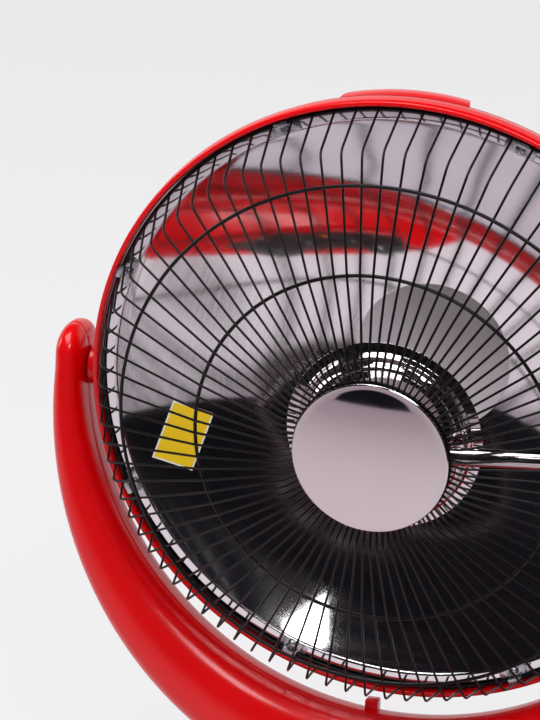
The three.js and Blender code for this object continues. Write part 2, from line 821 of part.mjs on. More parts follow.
clipAngles.forEach((angle, k) => {
  const holder = new THREE.Group();
  holder.matrixAutoUpdate = false;
  const outward = new THREE.Vector3(Math.cos(angle), 0, Math.sin(angle));
  const forward = new THREE.Vector3(0, -1, 0);
  const along = new THREE.Vector3().crossVectors(outward, forward);
  holder.matrix.makeBasis(along, outward, forward).setPosition(outward.clone().multiplyScalar(screwCircle));
  holder.add(
    piece(`guard_clip_${k + 1}`, guardClip(), steel),
    piece(`clip_screw_${k + 1}`, clipScrew(), steel),
  );
  head.add(holder);
});

// The cut-out and the terminals stand on the inside of the flat back.
const backInside = housingDepth - housingWall - clearance;

function thermalCutout() {
  const can = [
    [0, backInside - cutoutHeight],
    [cutoutRadius, backInside - cutoutHeight],
    [cutoutRadius, backInside - 2],
    [cutoutRadius + 3, backInside - 2],
    [cutoutRadius + 3, backInside],
    [0, backInside],
  ];
  return turned(can, 16);
}

function terminalBlock() {
  const [width, depth, height] = terminalSize;
  const pitch = width / 3;
  const body = solid(block(width, depth, height, 0, backInside - depth / 2, 0));
  const way = (x) => solid(block(pitch - 4, depth, height - 4, x, backInside - depth, 0));
  const ways = [-pitch, 0, pitch].map(way);
  return geometryOf(without(body, ...ways));
}
head.add(
  piece("thermal_cutout", thermalCutout().translate(-24, 0, 0), blackPlastic),
  piece("terminal_block", terminalBlock().translate(22, 0, 0), whiteNylon),
);

// ---------- yoke: leans back about the tilt axis, which is its x axis ----------
const yoke = new THREE.Group();
yoke.position.set(0, pivotBehindNeck, pivotHeight);
yoke.rotation.x = -yokeLean;
heater.add(yoke);

const yokeHalf = (dip) => {
  const rise = (Math.sin(dip) + Math.sin(dip) ** 2) / 2;
  return yokeTipHalf + (yokeBottomHalf - yokeTipHalf) * rise;
};

// Rings of the yoke's skin, inset by a wall (or grown by a negative one).
function yokeRings(inset) {
  const around = 12;
  const top = yokeTipRise - inset;
  const arm = (share) => ({
    centre: [yokeInner + yokeTipHalf, top - yokeTipRound + yokeTipRound * share],
    out: [1, 0],
    half: yokeTipHalf,
    scale: Math.sqrt(1 - share ** 2),
  });
  const tip = [0.98, 0.86, 0.6, 0.25].map(arm);
  const dips = Array.from({ length: 19 }, (_, k) => (k * Math.PI) / 18);
  const bow = dips.map((dip) => {
    const out = [Math.cos(dip), -Math.sin(dip)];
    const half = yokeHalf(dip);
    return { centre: out.map((v) => v * (yokeInner + half)), out, half, scale: 1 };
  });
  const flip = ([across, up]) => [-across, up];
  const mirrored = ({ centre, out, ...rest }) => ({ centre: flip(centre), out: flip(out), ...rest });
  const stations = [...tip, ...bow, ...tip.toReversed().map(mirrored)];
  const bulge = (value) => Math.sign(value) * Math.abs(value) ** (2 / yokeSquareness);
  return stations.map(({ centre, out, half, scale }) =>
    Array.from({ length: around }, (_, k) => {
      const turn = (k * 2 * Math.PI) / around;
      const across = bulge(Math.cos(turn)) * (half - inset) * scale;
      const back = bulge(Math.sin(turn)) * (yokeDepthHalf - inset) * scale;
      return new THREE.Vector3(centre[0] + out[0] * across, back, centre[1] + out[1] * across);
    }),
  );
}

const yokeSkin = solid(lofted(yokeRings(0)));

function yokeShells() {
  const hollow = yokeSkin.subtract(solid(lofted(yokeRings(yokeWall))));
  const reach = 3 * (yokeInner + 2 * yokeBottomHalf);
  const frontSide = solid(block(reach, reach, reach, 0, yokeSeam - clearance / 2 - reach / 2, 0));
  const backSide = solid(block(reach, reach, reach, 0, yokeSeam + clearance / 2 + reach / 2, 0));
  const holeRadius = pinRadius + clearance;
  const pinHoles = solid(
    new THREE.CylinderGeometry(holeRadius, holeRadius, 2 * yokeInner + 4 * yokeWall, 12).rotateZ(Math.PI / 2),
  );
  return [hollow.intersect(frontSide), hollow.intersect(backSide).subtract(pinHoles)].map(geometryOf);
}

function pivotPin(side) {
  const seat = yokeInner + yokeWall + 3 * clearance;
  const inner = bezelRadius - 5.5 - bossInset - pinInside;
  const body = turned(
    [
      [0, inner],
      [pinRadius - 0.6, inner],
      [pinRadius, inner + 0.6],
      [pinRadius, seat],
      [pinHeadRadius, seat],
      [pinHeadRadius, seat + pinHeadLength],
      [0, seat + pinHeadLength],
    ],
    12,
  );
  return body.rotateZ((-side * Math.PI) / 2);
}

function yokeTab() {
  const [x, y] = tabPlace;
  const [width, depth, height] = tabSize;
  const top = -yokeInner + height;
  const body = solid(block(width, depth, 2 * height, x, y, top - height));
  return geometryOf(body.subtract(solid(lofted(yokeRings(-clearance)))));
}

const [frontShell, rearShell] = yokeShells();
yoke.add(
  piece("yoke_front_shell", frontShell, redPlastic),
  piece("yoke_rear_shell", rearShell, redPlastic),
  piece("yoke_tab", yokeTab(), redPlastic),
  piece("pivot_pin_left", pivotPin(-1), steel),
  piece("pivot_pin_right", pivotPin(1), steel),
);

// ---------- neck: turns with the yoke on the base ----------
const bearingTop = baseTop + bearingThickness;
const baseCeiling = baseTop - baseWall;

function pedestal() {
  const bottom = bearingTop + clearance;
  const bore = neckRadius + clearance;
  const cone = turnedUp(
    [
      [bore, bottom],
      [pedestalRadius, bottom],
      [pedestalRadius, bottom + 5],
      [pedestalRadius - 4, bottom + 13],
      [pedestalTopRadius + 2, bottom + 22],
      [pedestalTopRadius, pedestalTop],
      [0, pedestalTop],
      [0, neckTop + clearance],
      [bore, neckTop + clearance],
    ],
    24,
  );
  const seat = solid(
    lofted(yokeRings(-clearance))
      .rotateX(-yokeLean)
      .translate(0, pivotBehindNeck, pivotHeight),
  );
  return geometryOf(solid(cone).subtract(seat));
}

function gearOutline(teeth, first, last, bore) {
  const pitchRadius = (teeth * gearModule) / 2;
  const [root, tip] = [pitchRadius - 1.15 * gearModule, pitchRadius + 0.8 * gearModule];
  const step = (2 * Math.PI) / teeth;
  const points = [];
  for (let tooth = first; tooth <= last; tooth++) {
    [[-0.27, root], [-0.1, tip], [0.1, tip], [0.27, root]].forEach(([share, radius]) => {
      const angle = (tooth + share) * step;
      points.push(new THREE.Vector2(radius * Math.sin(angle), radius * Math.cos(angle)));
    });
  }
  if (bore) {
    const start = (first - 0.5) * step;
    const end = (last + 0.5) * step;
    for (const share of [0, 0.25, 0.5, 0.75, 1]) {
      const angle = Math.PI + (share - 0.5) * (2 * Math.PI - (end - start));
      points.push(new THREE.Vector2((bore + 7) * Math.sin(angle), (bore + 7) * Math.cos(angle)));
    }
  }
  return new THREE.Shape(points);
}

function sectorGear() {
  const side = Math.floor((sectorHalfAngle * sectorTeeth) / (2 * Math.PI));
  const bore = neckRadius + clearance;
  const outline = gearOutline(sectorTeeth, -side, side, bore);
  const plate = solid(slab(outline, gearBottom, gearBottom + gearThickness));
  return geometryOf(plate.subtract(solid(post(bore, 0, 60, 24))));
}

const gearCentres = ((sectorTeeth + pinionTeeth) * gearModule) / 2 + gearBacklash;

function drivePinion() {
  const outline = gearOutline(pinionTeeth, 0, pinionTeeth - 1, 0);
  const wheel = slab(outline, gearBottom - 0.6, gearBottom + gearThickness + 0.6);
  const halfTooth = Math.PI / pinionTeeth; // a gap of the pinion faces a tooth of the sector
  const shaft = post(motorShaft, baseBottom + plateThickness + 4, gearBottom, 12);
  return geometryOf(joined(solid(wheel.rotateZ(Math.PI + halfTooth)), solid(shaft)));
}

const neck = new THREE.Group();
heater.add(neck);
neck.add(
  piece(
    "neck_shaft",
    turnedUp(
      [
        [neckBore, neckBottom],
        [neckRadius, neckBottom],
        [neckRadius, neckTop],
        [neckBore, neckTop],
      ],
      20,
    ),
    steel,
  ),
  piece(
    "retaining_collar",
    turnedUp(
      [
        [neckRadius + clearance, baseCeiling - clearance - collarThickness],
        [collarRadius, baseCeiling - clearance - collarThickness],
        [collarRadius, baseCeiling - clearance],
        [neckRadius + clearance, baseCeiling - clearance],
      ],
      20,
    ),
    steel,
  ),
  piece("sector_gear", sectorGear(), whiteNylon),
  piece("pedestal", pedestal(), redPlastic),
);

// ---------- base ----------
const base = new THREE.Group();
heater.add(base);
const floorTop = baseBottom + plateThickness; // inside face of the base plate

const consolePlace = new THREE.Matrix4()
  .makeRotationX(consoleTilt)
  .setPosition(...consoleCentre);
const consoleCeiling = -panelRecess - consoleWall;
const controlHoles = () => [
  post(bushRadius + clearance, -12, 6, 14, -knobSpacing),
  post(bushRadius + clearance, -12, 6, 14, knobSpacing),
  post(buttonRadius + clearance, -12, 6, 18, 0, buttonPlace),
  post(lampRadius + clearance, -12, 6, 12, 0, lampPlace),
];

function baseShell() {
  const bore = neckRadius + clearance + 0.1;
  const outside = [
    [baseRadius, baseBottom],
    [baseRadius, 22],
    [baseRadius - 5, 32],
    [baseRadius - 24, 42.5],
    [baseTopRadius, baseTop],
  ];
  const inside = [
    [baseRadius - baseRimWall, baseBottom - 1],
    [baseRadius - baseRimWall, 21.5],
    [baseRadius - 7.8, 30.4],
    [baseRadius - 25.4, 40.1],
    [baseTopRadius, baseCeiling],
  ];
  const [width, height] = consoleSize;
  const wallIn = 2 * consoleWall;
  const onConsole = (shape, low, high) => slab(shape, low, high).applyMatrix4(consolePlace);
  const roomOutline = roundedRectangle(width - wallIn, height - wallIn, consoleRound - consoleWall);
  const housing = onConsole(roundedRectangle(width, height, consoleRound), -consoleSkirt, 0);
  const room = onConsole(roomOutline, -consoleSkirt - 14, consoleCeiling);
  const recess = onConsole(roundedRectangle(...panelSize, panelRound), -panelRecess, 10);
  const dome = solid(turnedUp([[0, baseBottom], ...outside, [0, baseTop]]));
  const cavity = solid(turnedUp([[0, baseBottom - 1], ...inside, [0, baseCeiling]]));
  const above = solid(block(3 * baseRadius, 3 * baseRadius, 2 * baseTop, 0, 0, baseBottom + baseTop));
  const glandHole = new THREE.CylinderGeometry(glandNeck + clearance, glandNeck + clearance, 12, 12)
    .translate(0, baseRadius - 2, glandHeight);
  return geometryOf(
    without(
      joined(dome, solid(housing).intersect(above)),
      cavity,
      solid(room),
      solid(recess),
      solid(post(bore, baseTop / 2, baseTop + 10, 24)),
      solid(glandHole),
      ...controlHoles().map((hole) => solid(hole.applyMatrix4(consolePlace))),
    ),
  );
}

const tipSwitchPlace = [Math.cos, Math.sin].map((share) => tipSwitchRadius * share(tipSwitchAngle));

function basePlate() {
  const disc = solid(
    turnedUp([
      [0, baseBottom],
      [baseRadius - baseRimWall - clearance, baseBottom],
      [baseRadius - baseRimWall - clearance, floorTop],
      [0, floorTop],
    ]),
  );
  return geometryOf(disc.subtract(solid(post(plungerRadius + 1, 0, floorTop + 1, 12, ...tipSwitchPlace))));
}

function foot() {
  return turnedUp([[0, 0], [footRadius, 0], [footRadius - 0.8, baseBottom], [0, baseBottom]], 16);
}

base.add(
  piece("base_shell", baseShell(), redPlastic),
  piece("base_plate", basePlate(), blackPlastic),
  piece(
    "ballast_ring",
    turnedUp([
      [ballastInner, floorTop],
      [ballastOuter, floorTop],
      [ballastOuter, floorTop + ballastHeight],
      [ballastInner, floorTop + ballastHeight],
    ], 28),
    castIron,
  ),
  piece(
    "swivel_bearing",
    turnedUp([
      [neckRadius + clearance + 0.1, baseTop],
      [bearingRadius, baseTop],
      [bearingRadius, bearingTop],
      [neckRadius + clearance + 0.1, bearingTop],
    ], 24),
    whiteNylon,
  ),
);

const footNames = ["foot_front_right", "foot_rear_right", "foot_rear_left", "foot_front_left"];
footNames.forEach((name, k) => {
  const angle = Math.PI * (k / 2 - 0.25);
  const rubberFoot = piece(name, foot(), rubber);
  rubberFoot.position.set(footCircle * Math.cos(angle), footCircle * Math.sin(angle), 0);
  base.add(rubberFoot);
});

// swing motor, with the pinion's shaft in its bore
function motor() {
  const top = floorTop + motorHeight;
  const can = [
    [0, floorTop],
    [motorRadius, floorTop],
    [motorRadius, top - 1],
    [motorRadius - 1, top],
    [0, top],
  ];
  const bore = post(motorShaft + clearance, floorTop + 3.5, top + 1, 12);
  return geometryOf(solid(turnedUp(can, 18)).subtract(solid(bore)));
}
const swingMotor = piece("swing_motor", motor(), greyPlastic);
swingMotor.position.y = gearCentres;
const pinion = piece("drive_pinion", drivePinion(), whiteNylon);
pinion.position.y = gearCentres;
base.add(swingMotor, pinion);

// tip-over switch and its plunger
function tipSwitch() {
  const [width, depth, height] = tipSwitchSize;
  const body = solid(block(width, depth, height, 0, 0, floorTop + height / 2));
  const bore = post(plungerRadius + clearance, 0, floorTop + 13, 12);
  return geometryOf(body.subtract(solid(bore)));
}
const tipGroup = new THREE.Group();
tipGroup.position.set(...tipSwitchPlace, 0);
tipGroup.add(
  piece("tip_switch", tipSwitch(), blackPlastic),
  piece(
    "tip_plunger",
    turnedUp([
      [0, plungerFloorGap],
      [plungerRadius - 1, plungerFloorGap],
      [plungerRadius, plungerFloorGap + 1],
      [plungerRadius, plungerFloorGap + plungerLength],
      [0, plungerFloorGap + plungerLength],
    ], 12),
    whiteNylon,
  ),
);
base.add(tipGroup);

// cord gland in the back wall
const glandBack = baseRadius - 0.1;
const glandInside = baseRadius - baseRimWall - 4 * clearance;
base.add(
  piece(
    "cord_gland",
    turned([
      [glandBore, glandInside - 3.4],
      [glandFlange, glandInside - 3.4],
      [glandFlange, glandInside],
      [glandNeck, glandInside],
      [glandNeck, glandBack],
      [glandBore, glandBack],
    ], 12).translate(0, 0, glandHeight),
    rubber,
  ),
);

// ---------- control console, with local z out of the panel ----------
const controls = new THREE.Group();
controls.position.set(...consoleCentre);
controls.rotation.x = consoleTilt;
base.add(controls);

const panelTop = -panelRecess + clearance + panelThickness;

function controlPanel() {
  const [width, height] = panelSize;
  const margin = 2 * clearance;
  const outline = roundedRectangle(width - margin, height - margin, panelRound - clearance);
  const plate = slab(outline, panelTop - panelThickness, panelTop);
  return geometryOf(without(solid(plate), ...controlHoles().map(solid)));
}

function rotarySwitch() {
  const [width, depth, height] = switchSize;
  const top = consoleCeiling - clearance;
  const body = solid(block(width, depth, height, 0, 0, top - height / 2));
  const bush = solid(post(bushRadius, top - 1, panelTop + 1.2, 14));
  const bore = solid(post(knobStem + clearance, top - 10, panelTop + 5, 12));
  return geometryOf(joined(body, bush).subtract(bore));
}

function knob() {
  const low = panelTop + 1.2 + clearance;
  const skirt = turnedUp(
    [
      [0, low],
      [knobRadius, low],
      [knobRadius, low + 3],
      [knobRadius - 3, low + 5],
      [knobRadius - 4, low + knobHeight - 1.5],
      [knobRadius - 5.5, low + knobHeight],
      [0, low + knobHeight],
    ],
    16,
  );
  const pointer = block(2.2, 13, 1.6, 0, knobRadius - 10.5, low + knobHeight - 0.2);
  const stem = post(knobStem, consoleCeiling - clearance - 9, low + 1, 12);
  return geometryOf(joined(solid(skirt), solid(pointer), solid(stem)));
}

function swingButton() {
  const flangeTop = consoleCeiling - clearance;
  return turnedUp(
    [
      [0, flangeTop - 1.8],
      [buttonRadius + 1.8, flangeTop - 1.8],
      [buttonRadius + 1.8, flangeTop],
      [buttonRadius, flangeTop],
      [buttonRadius, panelTop + buttonProud - 1],
      [buttonRadius - 1, panelTop + buttonProud],
      [0, panelTop + buttonProud - 0.6],
    ],
    14,
  );
}

function lampLens() {
  const flangeTop = consoleCeiling - clearance;
  return turnedUp(
    [
      [0, flangeTop - 3],
      [lampRadius + 1.4, flangeTop - 3],
      [lampRadius + 1.4, flangeTop],
      [lampRadius, flangeTop],
      [lampRadius, panelTop + 0.6],
      [lampRadius * 0.6, panelTop + 1.8],
      [0, panelTop + 2.2],
    ],
    10,
  );
}

// A box under the panel whose pocket guides the button's flange over its travel.
function swingSwitch() {
  const top = consoleCeiling - clearance;
  const pocketFloor = top - 1.8 - buttonTravel - clearance;
  const body = solid(block(26, 24, 16, 0, 0, top - 8));
  const pocket = solid(post(buttonRadius + 1.8 + clearance, pocketFloor, top + 1, 14));
  return geometryOf(body.subtract(pocket));
}

const controlPieces = [
  ["heat_switch", rotarySwitch(), blackPlastic, -knobSpacing, 0],
  ["timer_unit", rotarySwitch(), greyPlastic, knobSpacing, 0],
  ["heat_knob", knob(), blackPlastic, -knobSpacing, 0],
  ["timer_knob", knob(), blackPlastic, knobSpacing, 0],
  ["swing_button", swingButton(), blackPlastic, 0, buttonPlace],
  ["swing_switch", swingSwitch(), greyPlastic, 0, buttonPlace],
  ["lamp_lens", lampLens(), amberLens, 0, lampPlace],
  ["control_panel", controlPanel(), blackPlastic, 0, 0],
];
controlPieces.forEach(([name, geometry, finish, x, y]) => {
  const control = piece(name, geometry, finish);
  control.position.set(x, y, 0);
  controls.add(control);
});

export default heater;
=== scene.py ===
import math

import bmesh
import bpy
from mathutils import Matrix, Vector


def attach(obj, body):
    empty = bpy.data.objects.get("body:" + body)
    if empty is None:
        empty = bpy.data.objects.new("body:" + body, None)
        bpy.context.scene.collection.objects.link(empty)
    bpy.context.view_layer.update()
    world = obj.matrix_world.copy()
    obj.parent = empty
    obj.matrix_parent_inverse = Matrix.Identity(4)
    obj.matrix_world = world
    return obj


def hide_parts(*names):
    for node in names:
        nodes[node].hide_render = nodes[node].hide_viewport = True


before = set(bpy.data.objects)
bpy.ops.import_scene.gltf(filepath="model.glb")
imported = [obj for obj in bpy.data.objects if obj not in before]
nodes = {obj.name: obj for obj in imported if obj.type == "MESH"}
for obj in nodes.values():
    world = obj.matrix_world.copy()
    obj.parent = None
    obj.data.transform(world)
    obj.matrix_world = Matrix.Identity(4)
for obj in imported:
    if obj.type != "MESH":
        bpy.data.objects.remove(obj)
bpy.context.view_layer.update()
print("frame loaded:", len(nodes), "nodes")

mm = 0.001
headCentre = Vector((0, 26, 347))  # middle of the rim plane, in mm; the dish looks along -Y
pivotCentre = Vector((0, 46, 345))
neckCentre = Vector((0, 0, 0))

cameraView = {
    "place": (513.1, -1992.3, 1280.05),
    "yaw": 0.28782,
    "pitch": 0.40839,
    "roll": -0.01622,
    "lens": 185,
}


def addCamera(view):
    yaw, pitch, roll = view["yaw"], view["pitch"], view["roll"]
    forward = Vector((-math.sin(yaw) * math.cos(pitch), math.cos(yaw) * math.cos(pitch), -math.sin(pitch)))
    level = Vector((math.cos(yaw), math.sin(yaw), 0))
    upright = level.cross(forward)
    across = level * math.cos(roll) + upright * math.sin(roll)
    up = upright * math.cos(roll) - level * math.sin(roll)
    bpy.ops.object.camera_add()
    camera = bpy.context.object
    turn = Matrix((across, up, -forward)).transposed().to_4x4()
    camera.matrix_world = Matrix.Translation(Vector(view["place"]) * mm) @ turn
    camera.data.sensor_width = 36
    camera.data.lens = view["lens"]
    camera.data.clip_end = 50
    bpy.context.scene.camera = camera


addCamera(cameraView)
print("camera placed")


def clearSelection():
    bpy.ops.object.select_all(action="DESELECT")


def pick(*pieces):
    clearSelection()
    for piece in pieces:
        piece.select_set(True)
    bpy.context.view_layer.objects.active = pieces[0]


def smoothShade(piece, angle=32):
    pick(piece)
    bpy.ops.object.shade_smooth_by_angle(angle=math.radians(angle))


def settleMesh(piece, angle=32):
    pick(piece)
    bpy.ops.object.mode_set(mode="EDIT")
    bpy.ops.mesh.select_all(action="SELECT")
    bpy.ops.mesh.remove_doubles(threshold=0.000002)
    bpy.ops.mesh.delete_loose()
    bpy.ops.mesh.select_all(action="SELECT")
    bpy.ops.mesh.normals_make_consistent(inside=False)
    bpy.ops.object.mode_set(mode="OBJECT")
    smoothShade(piece, angle)


def applyAll(piece):
    pick(piece)
    for modifier in list(piece.modifiers):
        bpy.ops.object.modifier_apply(modifier=modifier.name)


def bakePlace(piece):
    pick(piece)
    bpy.ops.object.transform_apply(location=True, rotation=True, scale=True)


def softenEdges(piece, width, segments=3, angle=35):
    bevel = piece.modifiers.new("soft edges", "BEVEL")
    bevel.width = width * mm
    bevel.segments = segments
    bevel.limit_method = "ANGLE"
    bevel.angle_limit = math.radians(angle)
    bevel.use_clamp_overlap = True
    applyAll(piece)


def joinPieces(name, pieces):
    pick(*pieces)
    if len(pieces) > 1:
        bpy.ops.object.join()
    whole = bpy.context.object
    whole.name = name
    whole.data.name = name
    return whole


def carve(piece, tools, operation="DIFFERENCE"):
    for tool in tools:
        cut = piece.modifiers.new("carve", "BOOLEAN")
        cut.operation = operation
        cut.object = tool
        cut.solver = "EXACT"
        applyAll(piece)
        bpy.data.objects.remove(tool)
    return piece


# Corners are (radius, along, fillet) in mm, and the outline closes on itself.
def roundOff(corners, segments=5):
    outline = []
    for index, (x, y, fillet) in enumerate(corners):
        corner = Vector((x, y))
        before = Vector(corners[index - 1][:2]) - corner
        after = Vector(corners[(index + 1) % len(corners)][:2]) - corner
        if not fillet:
            outline.append(corner)
            continue
        half = before.angle(after) / 2
        reach = min(fillet / math.tan(half), before.length * 0.48, after.length * 0.48)
        radius = reach * math.tan(half)
        middle = corner + (before.normalized() + after.normalized()).normalized() * (radius / math.sin(half))
        start = corner + before.normalized() * reach - middle
        end = corner + after.normalized() * reach - middle
        first = math.atan2(start.y, start.x)
        swing = (math.atan2(end.y, end.x) - first + math.pi) % (2 * math.pi) - math.pi
        for step in range(segments + 1):
            angle = first + swing * step / segments
            outline.append(middle + Vector((math.cos(angle), math.sin(angle))) * radius)
    return outline


def turnPiece(name, outline, steps=96, centre=headCentre, axis=(0, 1, 0), angle=2 * math.pi):
    clearSelection()
    bpy.ops.mesh.primitive_circle_add(vertices=len(outline), radius=0.1)
    piece = bpy.context.object
    piece.name = name
    piece.data.name = name
    along = Vector(axis)
    outward = Vector((1, 0, 0))
    for vertex, point in zip(piece.data.vertices, outline):
        vertex.co = (centre + outward * point[0] + along * point[1]) * mm
    bpy.ops.object.mode_set(mode="EDIT")
    bpy.ops.mesh.select_all(action="SELECT")
    whole = abs(angle - 2 * math.pi) < 0.001
    if not whole:
        bpy.ops.mesh.edge_face_add()
    bpy.ops.mesh.spin(steps=steps, angle=angle, center=centre * mm, axis=along, use_auto_merge=whole)
    bpy.ops.object.mode_set(mode="OBJECT")
    settleMesh(piece)
    return piece


def wirePiece(name, points, radius, resolution=3, closed=False):
    clearSelection()
    bpy.ops.curve.primitive_nurbs_path_add()
    piece = bpy.context.object
    piece.name = name
    run = piece.data
    run.splines.clear()
    run.dimensions = "3D"
    spline = run.splines.new("POLY")
    spline.points.add(len(points) - 1)
    for knot, point in zip(spline.points, points):
        knot.co = (*(Vector(point) * mm), 1)
    spline.use_cyclic_u = closed
    run.bevel_depth = radius * mm
    run.bevel_resolution = resolution
    run.use_fill_caps = not closed
    bpy.ops.object.convert(target="MESH")
    piece = bpy.context.object
    bakePlace(piece)
    smoothShade(piece, 60)
    return piece


def ringPiece(name, radius, along, thickness, centre=headCentre, around=176, sides=10):
    clearSelection()
    bpy.ops.mesh.primitive_torus_add(
        location=(centre + Vector((0, along, 0))) * mm,
        rotation=(math.pi / 2, 0, 0),
        major_segments=around,
        minor_segments=sides,
        major_radius=radius * mm,
        minor_radius=thickness * mm,
    )
    piece = bpy.context.object
    piece.name = name
    bakePlace(piece)
    smoothShade(piece, 60)
    return piece


def boxPiece(name, size, place, turn=(0, 0, 0)):
    clearSelection()
    bpy.ops.mesh.primitive_cube_add(size=1, location=Vector(place) * mm, rotation=turn, scale=Vector(size) * mm)
    piece = bpy.context.object
    piece.name = name
    bakePlace(piece)
    return piece


def rodPiece(name, radius, length, place, turn=(0, 0, 0), vertices=32):
    clearSelection()
    bpy.ops.mesh.primitive_cylinder_add(
        vertices=vertices, radius=radius * mm, depth=length * mm, location=Vector(place) * mm, rotation=turn
    )
    piece = bpy.context.object
    piece.name = name
    bakePlace(piece)
    smoothShade(piece)
    return piece


def placeOn(piece, matrix):
    piece.matrix_world = matrix @ piece.matrix_world
    bakePlace(piece)
    return piece


def turnedCopy(piece, name, angle, centre=headCentre, axis="Y"):
    twin = piece.copy()
    twin.data = piece.data.copy()
    twin.name = name
    bpy.context.collection.objects.link(twin)
    middle = Matrix.Translation(centre * mm)
    return placeOn(twin, middle @ Matrix.Rotation(angle, 4, axis) @ middle.inverted())


def finishPiece(piece, material, body, replaced=()):
    piece.data.materials.clear()
    piece.data.materials.append(material)
    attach(piece, body)
    if replaced:
        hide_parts(*replaced)
    return piece


def linear(red, green, blue):
    def channel(value):
        value = value / 255
        return value / 12.92 if value <= 0.04045 else ((value + 0.055) / 1.055) ** 2.4

    return (channel(red), channel(green), channel(blue), 1)


# An input is a plain value or another node's output.
def addNode(tree, kind, inputs=None, **settings):
    node = tree.nodes.new("ShaderNode" + kind)
    for name, value in settings.items():
        setattr(node, name, value)
    for name, value in (inputs or {}).items():
        if isinstance(value, bpy.types.NodeSocket):
            tree.links.new(value, node.inputs[name])
        else:
            node.inputs[name].default_value = value
    return node


def mathNode(tree, operation, first, second):
    return addNode(tree, "Math", {0: first, 1: second}, operation=operation).outputs["Value"]


def rampNode(tree, value, ends=(0, 1), results=(0, 1), kind="LINEAR"):
    inputs = dict(zip(("From Min", "From Max", "To Min", "To Max"), (*ends, *results)))
    inputs["Value"] = value
    return addNode(tree, "MapRange", inputs, interpolation_type=kind).outputs["Result"]


def mixNode(tree, factor, first, second):
    return addNode(tree, "Mix", {"Factor": factor, "A": first, "B": second}, data_type="RGBA").outputs["Result"]


def tintNode(tree, value, dark, pale, ends=(0, 1)):
    tint = addNode(tree, "ValToRGB", {"Fac": value})
    for element, position, colour in zip(tint.color_ramp.elements, ends, (dark, pale)):
        element.position = position
        element.color = colour
    return tint.outputs["Color"]


def noiseNode(tree, spot, scale, detail):
    return addNode(tree, "TexNoise", {"Vector": spot, "Scale": scale, "Detail": detail}).outputs["Fac"]


def newMaterial(name):
    material = bpy.data.materials.new(name)
    material.use_nodes = True
    return material, material.node_tree, material.node_tree.nodes["Principled BSDF"]


# Colour, roughness and normal reach the shader from nodes.
def finishShader(tree, shader, colour, roughness, height, strength, distance):
    bump = addNode(tree, "Bump", {"Height": height, "Strength": strength, "Distance": distance})
    tree.links.new(colour, shader.inputs["Base Color"])
    tree.links.new(roughness, shader.inputs["Roughness"])
    tree.links.new(bump.outputs["Normal"], shader.inputs["Normal"])


# look: colour and its darker twin, roughness range, grain size and bump, and the shader's own values
def surface(name, look):
    material, tree, shader = newMaterial(name)
    for socket, value in look.get("shader", {}).items():
        shader.inputs[socket].default_value = value
    spot = addNode(tree, "TexCoord").outputs["Object"]
    clouds = noiseNode(tree, spot, look.get("cloudScale", 9), 3)
    grain = noiseNode(tree, spot, look.get("grainScale", 220), 4)
    finishShader(
        tree,
        shader,
        tintNode(tree, clouds, look["dark"], look["colour"], (0.35, 0.65)),
        rampNode(tree, grain, results=look["roughness"]),
        grain,
        look.get("bumpStrength", 0.1),
        look.get("bumpDepth", 0.0001),
    )
    return material


glossyRed = surface("glossy red plastic", {
    "colour": linear(206, 1, 8),
    "dark": linear(198, 1, 7),
    "roughness": (0.16, 0.26),
    "grainScale": 160,
    "bumpStrength": 0.05,
    "bumpDepth": 0.00006,
    "shader": {"Coat Weight": 0.12, "Coat Roughness": 0.05, "Specular IOR Level": 0.32},
})
satinBlack = surface("satin black plastic", {
    "colour": linear(34, 34, 36),
    "dark": linear(26, 26, 28),
    "roughness": (0.38, 0.52),
    "grainScale": 600,
    "bumpStrength": 0.2,
    "bumpDepth": 0.0001,
})
greyMoulding = surface("grey moulding", {
    "colour": linear(150, 151, 153),
    "dark": linear(138, 139, 141),
    "roughness": (0.42, 0.56),
    "grainScale": 500,
    "bumpStrength": 0.2,
})
whiteNylon = surface("white nylon", {
    "colour": linear(236, 233, 224),
    "dark": linear(224, 220, 208),
    "roughness": (0.4, 0.55),
    "shader": {"Subsurface Weight": 0.05},
})
chromePlate = surface("chrome plate", {
    "colour": linear(210, 202, 206),
    "dark": linear(202, 194, 198),
    "roughness": (0.03, 0.07),
    "grainScale": 90,
    "bumpStrength": 0.02,
    "bumpDepth": 0.00003,
    "shader": {"Metallic": 1.0},
})
blackWireCoat = surface("black wire coat", {
    "colour": linear(14, 9, 11),
    "dark": linear(8, 5, 7),
    "roughness": (0.3, 0.42),
    "grainScale": 400,
    "bumpStrength": 0.15,
    "shader": {"Specular IOR Level": 0.25},
})
zincSteel = surface("zinc plated steel", {
    "colour": linear(196, 198, 202),
    "dark": linear(168, 171, 176),
    "roughness": (0.2, 0.36),
    "cloudScale": 260,
    "grainScale": 700,
    "bumpStrength": 0.15,
    "shader": {"Metallic": 1.0},
})
castIron = surface("cast iron", {
    "colour": linear(74, 75, 77),
    "dark": linear(52, 53, 55),
    "roughness": (0.6, 0.8),
    "grainScale": 300,
    "bumpStrength": 0.6,
    "bumpDepth": 0.0004,
    "shader": {"Metallic": 0.7},
})
blackRubber = surface("black rubber", {
    "colour": linear(32, 32, 33),
    "dark": linear(24, 24, 25),
    "roughness": (0.7, 0.88),
    "grainScale": 500,
    "bumpStrength": 0.3,
})
firedCeramic = surface("fired ceramic", {
    "colour": linear(238, 232, 218),
    "dark": linear(222, 212, 194),
    "roughness": (0.5, 0.7),
    "grainScale": 350,
    "bumpStrength": 0.35,
    "bumpDepth": 0.0002,
})
heatingWire = surface("oxidised heating wire", {
    "colour": linear(128, 118, 110),
    "dark": linear(86, 76, 70),
    "roughness": (0.35, 0.55),
    "cloudScale": 120,
    "shader": {"Metallic": 0.9},
})
amberLens = surface("amber lens", {
    "colour": linear(238, 132, 34),
    "dark": linear(226, 112, 22),
    "roughness": (0.08, 0.16),
    "shader": {"Coat Weight": 0.5, "Coat Roughness": 0.05},
})
